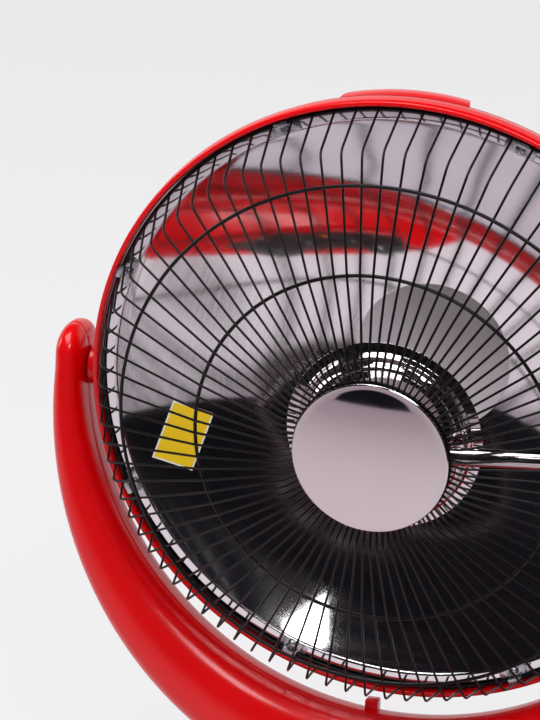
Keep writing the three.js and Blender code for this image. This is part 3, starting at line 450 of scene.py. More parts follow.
labelFilm = surface("plain yellow film", {
    "colour": linear(246, 208, 18),
    "dark": linear(238, 196, 10),
    "roughness": (0.3, 0.42),
    "grainScale": 900,
})
labelEdge = surface("white film", {
    "colour": linear(240, 240, 236),
    "dark": linear(230, 230, 226),
    "roughness": (0.3, 0.42),
    "grainScale": 900,
})
printWhite = surface("white print", {
    "colour": linear(236, 236, 234),
    "dark": linear(226, 226, 224),
    "roughness": (0.4, 0.5),
})


dish = {"radius": 184.2, "depth": 81, "front": 4, "flange": 1, "sheet": 1, "rows": 44, "flat": 50}
mirror = {
    "dark": linear(214, 212, 216),
    "pale": linear(228, 227, 231),
    "roughness": (0.035, 0.09),
    "satin": 0.36,  # roughness of the flat middle
    "lines": (620, 2.4, 1),  # brush lines across and along their run
    "lineBump": 0.22,
    "lineDepth": 0.00001,
    "clouds": 14,
}


# Spun sheet: fine brush lines round the dish axis on a polished face, and a satin middle.
def spunMirror(name):
    material, tree, shader = newMaterial(name)
    shader.inputs["Metallic"].default_value = 1.0
    spot = addNode(tree, "TexCoord").outputs["Object"]
    centred = addNode(tree, "Mapping", {"Vector": spot, "Location": -headCentre * mm}).outputs["Vector"]
    flattened = addNode(tree, "Mapping", {"Vector": centred, "Scale": (1, 0, 1)}).outputs["Vector"]
    radius = addNode(tree, "VectorMath", {0: flattened}, operation="LENGTH").outputs["Value"]
    split = addNode(tree, "SeparateXYZ", {"Vector": centred})
    angle = mathNode(tree, "ARCTAN2", split.outputs["Z"], split.outputs["X"])
    polar = addNode(tree, "CombineXYZ", {"X": radius, "Y": angle}).outputs["Vector"]
    drawn = addNode(tree, "Mapping", {"Vector": polar, "Scale": mirror["lines"]}).outputs["Vector"]
    lines = noiseNode(tree, drawn, 1, 3)
    rough = rampNode(tree, lines, results=mirror["roughness"])
    crease = dish["flat"] * mm
    satin = rampNode(tree, radius, (crease - 0.0004, crease + 0.0004), (mirror["satin"], 0))
    finishShader(
        tree,
        shader,
        tintNode(tree, noiseNode(tree, centred, mirror["clouds"], 4), mirror["dark"], mirror["pale"]),
        mathNode(tree, "MAXIMUM", rough, satin),
        lines,
        mirror["lineBump"],
        mirror["lineDepth"],
    )
    return material


polishedDish = spunMirror("polished spun aluminium")
print("materials ready")

bezel = {"radius": 200, "lip": 3.6, "front": -5.2, "back": 12, "ledge": 188.5, "taper": 1.9}


# The curve stops at the flat middle.
def dishY(radius):
    return dish["front"] + dish["depth"] * (1 - (max(radius, dish["flat"]) / dish["radius"]) ** 2)


def makeBezel():
    outer, inner, taper = bezel["radius"], bezel["radius"] - bezel["lip"], bezel["taper"]
    outline = roundOff([
        (inner, 2.3, 0.3),
        (inner, -4.4, 1.2),
        (inner + 1.4, bezel["front"], 1.4),
        (outer - 0.5, bezel["front"] + 0.7, 1.2),
        (outer, -1.5, 2.5),
        (outer, 4.5, 5),
        (outer - taper, bezel["back"], 0.5),
        (outer - taper - 2.6, bezel["back"], 0.3),
        (outer - taper - 2.6, 9, 0),
        (bezel["ledge"], 9, 0.3),
        (bezel["ledge"], 2.3, 0.3),
    ])
    ring = turnPiece("bezelRing", outline, steps=192)
    return finishPiece(ring, glossyRed, "head", ["bezel_ring"])


def makeDish():
    rows, flat, curved = dish["rows"], dish["flat"], dish["radius"] - dish["flat"]
    radii = [0, flat * 0.5, flat - 0.5, flat, flat + 0.5]
    radii += [flat + curved * row / rows for row in range(1, rows + 1)]
    front = [(radius, dishY(radius)) for radius in radii]
    back = [(radius, dishY(radius) + dish["sheet"] * 1.2) for radius in reversed(radii)]
    rim = roundOff([
        (dish["radius"] + 0.5, dish["front"] - 0.6, 0.3),
        (dish["radius"] + 2.2, dish["flange"], 1.6),
        (196, dish["flange"], 0.2),
        (196, dish["flange"] + 1, 0.2),
        (dish["radius"] + 2.6, dish["flange"] + 1, 0.6),
    ])
    sheet = turnPiece("dishReflector", front + rim + back, steps=192)
    return finishPiece(sheet, polishedDish, "head", ["reflector"])


housing = {
    "outline": [(198.1, 12.3), (193.6, 20), (185.6, 32), (162, 54), (122, 78), (78, 98)],
    "back": (58, 108),
    "wall": 2.5,
    "vents": 8,
    "ventRadius": 86,
    "ventSize": (5, 40, 26),
    "ventY": 94,
    "ventSoft": 2.4,
    "bossRadius": 12.5,
    "bossLength": 20.8,
    "bossX": 196.9,
    "tongue": (192.7, 195.2, 9.3),  # what slips into the bezel: inner and outer radius, and where it starts
}
grip = {
    "outline": [(198.1, 12.3), (198.6, 18), (197.6, 25), (194, 34), (187.8, 46), (181, 60)],
    "width": 78,
    "wall": 3,
    "narrowing": 0.25,
    "cheek": math.radians(0.9),  # thickness of the two ends, as an angle
    "cheekFoot": [(150.5, 60), (184, 31), (196.6, 13)],
}


# A smooth line through the given points, drawn as a curve would be.
def fairLine(points, steps):
    line = []
    last = len(points) - 1
    for index in range(last):
        p0, p1, p2, p3 = (Vector(points[min(max(index + k, 0), last)]) for k in (-1, 0, 1, 2))
        for step in range(steps):
            t = step / steps
            line.append(
                0.5 * (2 * p1 + (p2 - p0) * t + (2 * p0 - 5 * p1 + 4 * p2 - p3) * t**2
                       + (3 * p1 - p0 - 3 * p2 + p3) * t**3)
            )
    return line + [Vector(points[last])]


def makeHousing():
    wall, rimBack = housing["wall"], housing["outline"][0][1]
    backRadius, backY = housing["back"]
    tongueInner, tongueOuter, tongueStart = housing["tongue"]
    outside = fairLine([*housing["outline"], (backRadius, backY - 1.4)], 4)
    inside = [Vector((point.x - wall, point.y - wall * 0.75)) for point in reversed(outside[2:])]
    outline = [
        *outside,
        Vector((backRadius - 4, backY)),
        Vector((0, backY)),
        Vector((0, backY - wall)),
        Vector((backRadius - 5, backY - wall)),
        *inside[1:],
        Vector((tongueInner, tongueStart)),
        Vector((tongueOuter, tongueStart)),
        Vector((tongueOuter, rimBack)),
    ]
    shell = turnPiece("rearHousing", outline, steps=128)
    cutters = []
    for vent in range(housing["vents"]):
        place = headCentre + Vector((0, housing["ventY"], housing["ventRadius"]))
        slot = boxPiece("slot", housing["ventSize"], place)
        softenEdges(slot, housing["ventSoft"], 4)
        cutters.append(placeOn(slot, turnAboutHead(vent * 2 * math.pi / housing["vents"])))
    carve(shell, [joinPieces("slots", cutters)])
    bosses = []
    for side in (-1, 1):
        place = pivotCentre + Vector((side * housing["bossX"], 0, 0))
        boss = rodPiece("boss", housing["bossRadius"], housing["bossLength"], place, (0, math.pi / 2, 0), 48)
        room = [(0, -40), (bezel["radius"] + 0.3, -40), (bezel["radius"] + 0.3, rimBack), (0, rimBack)]
        clear = turnPiece("besideBezel", [Vector(point) for point in room], steps=128)
        carve(boss, [clear])
        softenEdges(boss, 0.8)
        bosses.append(boss)
    whole = joinPieces("rearHousing", [shell, *bosses, makeGrip()])
    smoothShade(whole, 32)
    return finishPiece(whole, glossyRed, "head", ["rear_housing"])


def turnAboutHead(angle):
    middle = Matrix.Translation(headCentre * mm)
    return middle @ Matrix.Rotation(angle, 4, "Y") @ middle.inverted()


# The hood over the fingers, closed at its two ends and open to the back.
def makeGrip():
    halfAngle = math.asin(grip["width"] / 2 / 200)
    outside = fairLine(grip["outline"], 4)
    inside = [Vector((point.x - grip["wall"], point.y)) for point in reversed(outside)]
    hood = turnPiece("hood", outside + inside, steps=24, angle=2 * halfAngle)
    placeOn(hood, turnAboutHead(-math.pi / 2 + halfAngle))
    cheekFoot = [Vector(point) for point in grip["cheekFoot"]]
    cheeks = []
    for side in (0, 1):
        cheek = turnPiece("cheek", outside + cheekFoot, steps=2, angle=grip["cheek"])
        start = -math.pi / 2 + (halfAngle - grip["cheek"] if side else -halfAngle)
        cheeks.append(placeOn(cheek, turnAboutHead(start)))
    whole = joinPieces("grip", [hood, *cheeks])
    start, end = grip["outline"][0][1], grip["outline"][-1][1]
    for vertex in whole.data.vertices:
        share = (vertex.co.y / mm - headCentre.y - start) / (end - start)
        vertex.co.x *= 1 - grip["narrowing"] * min(1, max(0, share))
    return whole


guard = {
    "wires": 88,
    "first": math.radians(22.5) + math.pi / 88,
    "wire": 0.8,
    "rings": {  # radius, place along the dish axis and half thickness
        "rimRing": (193.9, -0.9, 1.2),
        "outerRing": (164.5, -54.3, 1.15),
        "middleRing": (112.8, -67.0, 1.15),
        "innerRing": (48.2, -75.0, 1.1),
    },
}
# The wire's run from the rim to the middle: radius, height in front of the rim plane, bend.
wireRun = [(193.9, 1.2, 0), (182.2, 43.4, 9), (112.8, 68.6, 0), (58, 79.9, 10), (47.6, 75.8, 0)]


def bentRun(corners, segments=6):
    run = []
    for index, (x, y, bend) in enumerate(corners):
        corner = Vector((x, y))
        if not bend:
            run.append(corner)
            continue
        before = Vector(corners[index - 1][:2]) - corner
        after = Vector(corners[index + 1][:2]) - corner
        half = before.angle(after) / 2
        reach = bend / math.tan(half)
        start, end = corner + before.normalized() * reach, corner + after.normalized() * reach
        for step in range(segments + 1):
            t = step / segments
            run.append(start * (1 - t) ** 2 + corner * 2 * t * (1 - t) + end * t**2)
    return run


def makeGuard():
    run = bentRun(wireRun)
    first = wirePiece("wire", [headCentre + Vector((p.x, -p.y, 0)) for p in run], guard["wire"], resolution=2)
    step = 2 * math.pi / guard["wires"]
    wires = [turnedCopy(first, "wire", -guard["first"] - index * step) for index in range(guard["wires"])]
    bpy.data.objects.remove(first)
    rings = [ringPiece(name, *sizes) for name, sizes in guard["rings"].items()]
    whole = joinPieces("wireGuard", [*rings, *wires])
    smoothShade(whole, 60)
    return finishPiece(whole, blackWireCoat, "head", ["front_guard"])


clip = {
    "count": 8,
    "first": math.radians(22.5),
    "circle": 189,
    "sheet": 0.65,
    "width": 20,
    "reach": 6.9,
    "tongue": 9,  # width of the part that folds over the rim ring
    "rise": 4.4,
    "fold": 3.0,
    "seat": 0.7,  # just in front of the flange
    "notch": 1.9,
    "mouth": 3.6,
}
clipScrew = {"seat": -0.25, "radius": 3, "rise": 2.3, "slot": (0.8, 1.8, 3.6), "turn": 0.35}


# One clip and its screw at the dish's right, copied round the rim.
def makeClips():
    radius, sheet, seat, tongue = clip["circle"], clip["sheet"], clip["seat"], clip["tongue"]

    def sheetBox(name, size, x, y):
        return boxPiece(name, size, headCentre + Vector((x, y, 0)))

    plate = sheetBox("plate", (clip["reach"], sheet, clip["width"]), radius + 0.4, seat - sheet / 2)
    wall = sheetBox("wall", (sheet, clip["rise"], tongue), radius + 3.62, seat - clip["rise"] / 2)
    fold = sheetBox("fold", (clip["fold"], sheet, tongue), radius + 4.8, seat - 4.9)
    body = carve(plate, [wall, fold], "UNION")
    place = headCentre + Vector((radius - 0.4, 0, 0))
    notch = rodPiece("notch", clip["notch"], 6, place, (math.pi / 2, 0, 0), 20)
    mouth = sheetBox("mouth", (4, 6, clip["mouth"]), radius - 2.6, 0)
    carve(body, [notch, mouth])
    softenEdges(body, 0.22, 2)
    smoothShade(body)
    seat, edge, top = clipScrew["seat"], clipScrew["radius"], clipScrew["seat"] - clipScrew["rise"]
    spot = headCentre + Vector((radius, 0, 0))
    corners = [(0, seat, 0), (edge, seat, 0.2), (edge, seat - 0.9, 0.5), (2.2, top + 0.2, 1.2), (0, top, 0)]
    head = turnPiece("screwHead", roundOff(corners, 4), steps=32, centre=spot)
    for angle in (clipScrew["turn"], clipScrew["turn"] + math.pi / 2):
        slot = sheetBox("slot", clipScrew["slot"], radius, top)
        middle = Matrix.Translation(spot * mm)
        carve(head, [placeOn(slot, middle @ Matrix.Rotation(angle, 4, "Y") @ middle.inverted())])
    smoothShade(head)
    for index in range(clip["count"]):
        angle = -clip["first"] - index * 2 * math.pi / clip["count"]
        number = index + 1
        folded = turnedCopy(body, f"guardClip{number}", angle)
        finishPiece(folded, zincSteel, "head", [f"guard_clip_{number}"])
        screw = turnedCopy(head, f"clipScrew{number}", angle)
        finishPiece(screw, zincSteel, "head", [f"clip_screw_{number}"])
    bpy.data.objects.remove(body)
    bpy.data.objects.remove(head)


cap = {"radius": 48.5, "back": 78.1, "edge": 1.2, "crown": 3.2, "boss": 8, "bossEnd": 74.7}


def makeCap():
    radius, face = cap["radius"], -cap["back"] - cap["edge"]
    dome = [Vector((radius * k / 24, face - cap["crown"] * (1 - (k / 24) ** 2))) for k in range(23)]
    edge = roundOff([
        (radius - 0.7, face - 0.25, 0.5),
        (radius, face + 0.4, 0.5),
        (radius, -cap["back"], 0.2),
        (cap["boss"], -cap["back"], 0.4),
        (cap["boss"], -cap["bossEnd"], 0),
        (0, -cap["bossEnd"], 0),
    ], 4)
    plate = turnPiece("centreCap", dome + edge, steps=128)
    return finishPiece(plate, chromePlate, "head", ["centre_cap"])


def makeHub():
    outline = roundOff([
        (2.1, -74.4, 0),
        (48.2, -74.4, 0.4),
        (48.2, -73.4, 0.3),
        (45, -72.2, 0.8),
        (48, -52, 2.4),
        (50.8, -48.6, 1.2),
        (53.2, -50, 0.9),
        (55.4, -46.1, 1),
        (61.2, -44.7, 0.3),
        (61.2, -43.8, 0.3),
        (54.6, -45.2, 1),
        (53, -48.4, 0.6),
        (50.6, -47.5, 0.8),
        (47, -51.6, 1.8),
        (44, -72.2, 0.6),
        (43.6, -73.4, 0.5),
        (2.1, -73.4, 0),
    ], 5)
    hat = turnPiece("hubReflector", outline, steps=128)
    return finishPiece(hat, chromePlate, "head", ["hub_reflector"])


element = {
    "socket": 26,
    "back": -73.1,
    "socketEnd": -62.1,
    "core": 17,
    "tip": 8,
    "turns": 8,
    "pitch": 4.6,
    "wire": 0.95,
}


def makeElement():
    back, socketEnd = element["back"], element["socketEnd"]
    outline = roundOff([
        (0, back, 0),
        (element["socket"], back, 1.4),
        (element["socket"], socketEnd, 1),
        (element["core"] + 1.5, socketEnd, 0.4),
        (element["core"], socketEnd + 1, 0.4),
        (element["core"], -element["tip"] - 6, 2),
        (element["core"] * 0.7, -element["tip"] - 1.2, 2),
        (0, -element["tip"], 0),
    ])
    core = turnPiece("ceramicCore", outline, steps=64)
    finishPiece(core, firedCeramic, "head", ["ceramic_core"])
    radius = element["core"] + 0.35 + element["wire"]
    first = socketEnd + 3.3
    points = [headCentre + Vector((0, socketEnd + 0.4, radius))]
    count = 24 * element["turns"]
    for index in range(count + 1):
        angle = index * 2 * math.pi / 24
        y = first + index / 24 * element["pitch"]
        points.append(headCentre + Vector((radius * math.sin(angle), y, radius * math.cos(angle))))
    coil = wirePiece("heatingCoil", points, element["wire"], resolution=3)
    finishPiece(coil, heatingWire, "head", ["heating_coil"])


tube = {
    "radius": 5.75,
    "start": (38, -65),
    "bend": [(138, -51.5), (164, -47.9), (174, -38), (174, -18)],  # a smooth curve through its pull points
    "end": 174,
    "drop": 11.5,
}
tubeCollar = {"inner": 6.1, "outer": 9.8, "neck": 9.2, "length": 13, "before": 9}


def makeLeadTube():
    points = [headCentre + Vector((*spot, 0)) for spot in (tube["start"], tube["bend"][0])]
    controls = [Vector(spot) for spot in tube["bend"]]
    for step in range(1, 17):
        t = step / 16
        spot = (controls[0] * (1 - t) ** 3 + controls[1] * 3 * t * (1 - t) ** 2
                + controls[2] * 3 * t * t * (1 - t) + controls[3] * t**3)
        points.append(headCentre + Vector((spot.x, spot.y, 0)))
    points.append(headCentre + Vector((tube["end"], dishY(tube["end"]) + tube["drop"], 0)))
    pipe = wirePiece("leadTube", points, tube["radius"], resolution=10)
    finishPiece(pipe, chromePlate, "head", ["support_tube"])
    start = dishY(tube["end"]) - tubeCollar["before"]
    inner, outer, end = tubeCollar["inner"], tubeCollar["outer"], start + tubeCollar["length"]
    outline = roundOff([
        (inner, start, 0.3),
        (tubeCollar["neck"], start, 0.8),
        (outer, start + 7, 0.6),
        (outer, end, 0),
        (inner, end, 0),
    ])
    collar = turnPiece("tubeCollar", outline, steps=48, centre=headCentre + Vector((tube["end"], 0, 0)))
    finishPiece(collar, chromePlate, "head", ["tube_collar"])


sticker = {
    "width": 29,
    "height": 39,
    "radius": 157.6,
    "angle": math.radians(197.5),
    "spin": math.radians(49.5),
    "films": (("stickerBack", 0, 0.25), ("stickerFace", 2.2, 0.4)),  # margin and lift off the dish
    "thickness": 0.12,
}


# A thin film over the dish: a subdivided sheet whose points are dropped onto the dish.
def makeSticker():
    angle, radius = sticker["angle"], sticker["radius"]
    slope = 2 * dish["depth"] * radius / dish["radius"] ** 2
    outward = Vector((math.cos(angle), 0, math.sin(angle)))
    along = Vector((-math.sin(angle), 0, math.cos(angle)))
    normal = (outward * slope + Vector((0, 1, 0))).normalized()
    inward = along.cross(normal)
    across = along * math.cos(sticker["spin"]) + inward * math.sin(sticker["spin"])
    upward = normal.cross(across)
    films = []
    for name, margin, lift in sticker["films"]:
        clearSelection()
        bpy.ops.mesh.primitive_grid_add(x_subdivisions=14, y_subdivisions=18, size=1)
        film = bpy.context.object
        film.name = name
        for vertex in film.data.vertices:
            x = vertex.co.x * (sticker["width"] - margin)
            z = vertex.co.y * (sticker["height"] - margin)
            spot = outward * radius + across * x + upward * z
            depth = dishY(math.hypot(spot.x, spot.z)) - lift
            vertex.co = (headCentre + Vector((spot.x, depth, spot.z))) * mm
        bpy.ops.object.mode_set(mode="EDIT")
        bpy.ops.mesh.select_all(action="SELECT")
        bpy.ops.mesh.extrude_region_move(TRANSFORM_OT_translate={"value": (0, -sticker["thickness"] * mm, 0)})
        bpy.ops.object.mode_set(mode="OBJECT")
        settleMesh(film)
        films.append(film)
    finishPiece(films[0], labelEdge, "head", ["blank_sticker"])
    finishPiece(films[1], labelFilm, "head")


makeBezel()
makeDish()
makeHousing()
print("bezel, dish and housing made")
makeGuard()
makeClips()
print("guard made")
makeCap()
makeHub()
makeElement()
makeLeadTube()
makeSticker()
print("hub and element made")

yoke = {
    "inner": 209,
    "tipHalf": 9.75,
    "bottomHalf": 31,
    "depthHalf": 26,
    "tipRise": 28,
    "tipRound": 20,
    "square": 2.6,
    "bowHalf": 26,  # about half the bow's depth, which sets its length
    "seam": -5,
    "seamHalf": 0.2,
    "edge": 0.5,
    "lean": math.radians(10),
}
yokeTab = {"size": (8.5, 9, 12), "place": (-17, 6, -207.6), "edge": 1.0}


# Where the yoke's skin lies: share runs from the right tip round the bottom to the left tip.
def yokeSpot(share, turn, inset=0):
    inner, tipHalf, rise, tipRound = yoke["inner"], yoke["tipHalf"], yoke["tipRise"], yoke["tipRound"]
    bow = math.pi * (inner + yoke["bowHalf"])
    arm = rise - inset
    length = bow + 2 * arm
    travelled = share * length
    side = 1
    if travelled > length / 2:
        travelled, side = length - travelled, -1
    if travelled < arm:
        height = arm - travelled
        scale = max(0, 1 - max(0, (height - arm + tipRound) / tipRound) ** 2.2) ** (1 / 2.2)
        centre, out, half = Vector((inner + tipHalf, height)), Vector((1, 0)), tipHalf
    else:
        dip = (travelled - arm) / bow * math.pi
        grow = (math.sin(dip) + math.sin(dip) ** 2) / 2
        half = tipHalf + (yoke["bottomHalf"] - tipHalf) * grow
        out = Vector((math.cos(dip), -math.sin(dip)))
        centre, scale = out * (inner + half), 1
    power = 2 / yoke["square"]
    across = math.copysign(abs(math.cos(turn)) ** power, math.cos(turn)) * (half - inset) * scale
    back = math.copysign(abs(math.sin(turn)) ** power, math.sin(turn)) * (yoke["depthHalf"] - inset) * scale
    spot = centre + out * across
    return Vector((side * spot.x, back, spot.y))


def yokeSkin(name, inset):
    clearSelection()
    bpy.ops.mesh.primitive_uv_sphere_add(segments=48, ring_count=168, radius=1)
    skin = bpy.context.object
    skin.name = name
    for vertex in skin.data.vertices:
        latitude = math.acos(max(-1, min(1, vertex.co.z))) / math.pi
        eased = latitude - 0.13 * math.sin(2 * math.pi * latitude)
        turn = math.atan2(vertex.co.y, vertex.co.x)
        vertex.co = yokeSpot(eased, turn, inset) * mm
    return skin


def makeYoke():
    placed = Matrix.Translation(pivotCentre * mm) @ Matrix.Rotation(-yoke["lean"], 4, "X")
    solidSkin = yokeSkin("yokeSkin", 0)
    for name, node, sign in (("yokeFront", "yoke_front_shell", -1), ("yokeBack", "yoke_rear_shell", 1)):
        shell = solidSkin.copy()
        shell.data = solidSkin.data.copy()
        shell.name = name
        bpy.context.collection.objects.link(shell)
        pick(shell)
        bpy.ops.object.mode_set(mode="EDIT")
        bpy.ops.mesh.select_all(action="SELECT")
        bpy.ops.mesh.bisect(
            plane_co=(0, (yoke["seam"] + sign * yoke["seamHalf"]) * mm, 0),
            plane_no=(0, sign, 0),
            use_fill=True,
            clear_inner=True,
        )
        bpy.ops.mesh.bevel(offset=yoke["edge"] * mm, segments=2, affect="EDGES")
        bpy.ops.object.mode_set(mode="OBJECT")
        settleMesh(shell, 40)
        placeOn(shell, placed)
        finishPiece(shell, glossyRed, "yoke", [node])
    bpy.data.objects.remove(solidSkin)
    tab = boxPiece("yokeTab", yokeTab["size"], yokeTab["place"])
    softenEdges(tab, yokeTab["edge"])
    smoothShade(tab)
    placeOn(tab, placed)
    finishPiece(tab, glossyRed, "yoke", ["yoke_tab"])


pedestal = {
    "outline": [
        (15.6, 61.6, 0),
        (42, 61.6, 0.8),
        (42, 66, 1.6),
        (37.5, 74.5, 7),
        (33, 84, 8),
        (31, 96, 0.6),
        (0, 96, 0),
        (0, 74.4, 0),
        (15.6, 74.4, 0),
    ],
    "bearing": [(15.5, 58.5, 0), (38, 58.5, 0.4), (38, 61.2, 0.4), (15.5, 61.2, 0)],
}


# A piece turned about an upright axis.
def turnUpright(name, corners, steps, centre=neckCentre):
    return turnPiece(name, corners, steps=steps, centre=centre, axis=(0, 0, 1))


def makePedestal():
    stem = turnUpright("pedestal", roundOff(pedestal["outline"]), 96)
    finishPiece(stem, glossyRed, "yoke", ["pedestal"])
    washer = turnUpright("swivelBearing", roundOff(pedestal["bearing"]), 72)
    finishPiece(washer, whiteNylon, "base", ["swivel_bearing"])


makeYoke()
makePedestal()
print("yoke made")

base = {
    "outside": [(150, 22), (145, 32), (126, 42.5), (98, 51)],
    "top": (48, 58.5),
    "wall": 2.6,
}
console = {
    "tilt": math.radians(24),
    "centre": Vector((0, -103, 52)),
    "size": (150, 64),
    "round": 12,
    "wall": 2.5,
    "panel": (137.4, 51.4),
    "recess": (138, 52),
    "deep": 1.2,  # how far the recess goes in
    "knobs": 42,
    "shaftHole": 4.9,
    "button": -7,
    "buttonHole": 8.2,
    "lamp": 15,
    "lampHole": 3.4,
}
consolePlace = Matrix.Translation(console["centre"] * mm) @ Matrix.Rotation(console["tilt"], 4, "X")


# A slab with rounded corners, between two heights.
def roundedSlab(name, width, height, corner, low, high, soft=0):
    slab = boxPiece(name, (width, height, high - low), (0, 0, (low + high) / 2))
    pick(slab)
    bpy.ops.object.mode_set(mode="EDIT")
    bpy.ops.mesh.select_all(action="DESELECT")
    bpy.ops.object.mode_set(mode="OBJECT")
    for edge in slab.data.edges:
        first, second = (slab.data.vertices[index].co for index in edge.vertices)
        edge.select = abs(first.z - second.z) > 0.9 * (high - low) * mm
    bpy.ops.object.mode_set(mode="EDIT")
    bpy.ops.mesh.select_mode(type="EDGE")
    bpy.ops.mesh.bevel(offset=corner * mm, segments=8, affect="EDGES")
    bpy.ops.object.mode_set(mode="OBJECT")
    if soft:
        softenEdges(slab, soft, 3, 50)
    smoothShade(slab)
    return slab


# Rods that cut the openings for the two shafts, the button and the lamp.
def consoleHoles(length, around=32):
    knobs = console["knobs"]
    return [
        rodPiece("hole", console["shaftHole"], length, (-knobs, 0, 0)),
        rodPiece("hole", console["shaftHole"], length, (knobs, 0, 0)),
        rodPiece("hole", console["buttonHole"], length, (0, console["button"], 0), vertices=around),
        rodPiece("hole", console["lampHole"], length, (0, console["lamp"], 0)),
    ]


def makeBaseShell():
    dome = fairLine([*base["outside"], base["top"]], 6)
    inside = [Vector((point.x - base["wall"] * 0.9, point.y - base["wall"])) for point in reversed(dome)]
    outline = [
        Vector((147.2, 7)),
        Vector((149.4, 7)),
        Vector((150, 7.6)),
        *dome,
        Vector((15.6, 58.5)),
        Vector((15.6, 56)),
        *inside,
        Vector((147.2, 19)),
    ]
    shell = turnUpright("baseShell", outline, 144)
    width, height = console["size"]
    deep = console["deep"]
    pod = placeOn(roundedSlab("pod", width, height, console["round"], -46, 0, 1.2), consolePlace)
    floorCut = boxPiece("floorCut", (400, 400, 100), (0, 0, -43))
    carve(pod, [floorCut])
    corners = [Vector((0, 6)), Vector((147.2, 6)), *reversed(inside), Vector((0, 56))]
    inner = turnUpright("domeRoom", corners, 72)
    wall = console["wall"]
    room = placeOn(
        roundedSlab("room", width - 2 * wall, height - 2 * wall, console["round"] - wall, -60, -deep - wall),
        consolePlace,
    )
    recess = placeOn(roundedSlab("recess", *console["recess"], 7, -deep, 10), consolePlace)
    carve(pod, [inner])
    carve(shell, [pod], "UNION")
    carve(shell, [room, recess])
    carve(shell, [placeOn(hole, consolePlace) for hole in consoleHoles(30)])
    glandPlace = (0, 148, underside["glandHeight"])
    carve(shell, [rodPiece("glandHole", 4.7, 12, glandPlace, (math.pi / 2, 0, 0))])
    smoothShade(shell, 32)
    return finishPiece(shell, glossyRed, "base", ["base_shell"])


underside = {
    "plate": [(0, 7, 0), (146.9, 7, 0.5), (146.9, 9.5, 0.3), (0, 9.5, 0)],
    "plunger": (-52.33, 52.33, 8),
    "foot": [(0, 0.6, 0), (8.6, 0.6, 0.3), (9.4, 0, 0.3), (12, 0, 0.9), (11.2, 7, 0.3), (0, 7, 0)],
    "footCircle": 122,
    "gland": [
        (3.6, 142.6, 0.3),
        (6.5, 142.6, 0.5),
        (6.5, 146, 0.3),
        (4.4, 146, 0),
        (4.4, 149.9, 0.8),
        (3.6, 149.9, 0.3),
    ],
    "glandHeight": 17,
}


def makeUnderside():
    plate = turnUpright("basePlate", roundOff(underside["plate"]), 144)
    carve(plate, [rodPiece("plungerHole", 4, 12, underside["plunger"])])
    smoothShade(plate)
    finishPiece(plate, satinBlack, "base", ["base_plate"])
    outline, circle = roundOff(underside["foot"]), underside["footCircle"]
    names = ["foot_front_right", "foot_rear_right", "foot_rear_left", "foot_front_left"]
    for index, node in enumerate(names):
        angle = math.pi * (index / 2 - 0.25)
        spot = Vector((circle * math.cos(angle), circle * math.sin(angle), 0))
        foot = turnUpright(f"rubberFoot{index + 1}", outline, 40, spot)
        finishPiece(foot, blackRubber, "base", [node])
    height = Vector((0, 0, underside["glandHeight"]))
    gland = turnPiece("cordGland", roundOff(underside["gland"]), steps=40, centre=height)
    finishPiece(gland, blackRubber, "base", ["cord_gland"])


# The left dial has three strokes over a quarter turn, the right one eleven over 300 degrees.
dial = {"sweeps": ((-1, 90, 3), (1, 300, 11)), "mark": (0.9, 3.2, 0.12), "place": (0, 22.3, 0.64)}
buttonOutline = [(0, -5.8, 0), (9.7, -5.8, 0.2), (9.7, -4.0, 0.2), (7.9, -4.0, 0), (7.9, 5.6, 1.2), (0, 5.0, 0)]
lensOutline = [
    (0, -7, 0),
    (4.5, -7, 0.2),
    (4.5, -4, 0.2),
    (3.1, -4, 0),
    (3.1, 1.2, 0.6),
    (1.9, 2.3, 1.2),
    (0, 2.7, 0),
]
knob = {
    "low": 2.1,
    "outline": [(0, 0, 0), (19, 0, 0.4), (19, 3, 1), (16, 5, 1.6), (14.4, 16, 1.6), (0, 15.4, 0)],
    "flutes": 18,
    "flute": (1.5, 16),
    "fluteCircle": 16.6,
    "fluteLean": math.radians(-8),
    "stem": (3, 14.5),
    "pointer": (1.7, 11, 0.7),
}


def makeConsole():
    width, height = console["panel"]
    plate = roundedSlab("controlPanel", width, height, 6.7, -0.9, 0.6, 0.3)
    carve(plate, consoleHoles(10, 48))
    smoothShade(plate)
    placeOn(plate, consolePlace)
    finishPiece(plate, satinBlack, "base", ["control_panel"])
    makeKnob("heatKnob", "heat_knob", -console["knobs"])
    makeKnob("timerKnob", "timer_knob", console["knobs"])
    marks = []
    for side, sweep, count in dial["sweeps"]:
        for index in range(count):
            angle = -math.radians(sweep * index / (count - 1))
            mark = boxPiece("mark", dial["mark"], dial["place"])
            turned = Matrix.Rotation(angle, 4, "Z")
            across = Matrix.Translation((side * console["knobs"] * mm, 0, 0))
            marks.append(placeOn(placeOn(mark, turned), across))
    printed = placeOn(joinPieces("dialMarks", marks), consolePlace)
    finishPiece(printed, printWhite, "base")
    button = turnUpright("swingButton", roundOff(buttonOutline), 64, Vector((0, console["button"], 0)))
    placeOn(button, consolePlace)
    finishPiece(button, satinBlack, "swing_button", ["swing_button"])
    lens = turnUpright("lampLens", roundOff(lensOutline), 32, Vector((0, console["lamp"], 0)))
    placeOn(lens, consolePlace)
    finishPiece(lens, amberLens, "base", ["lamp_lens"])


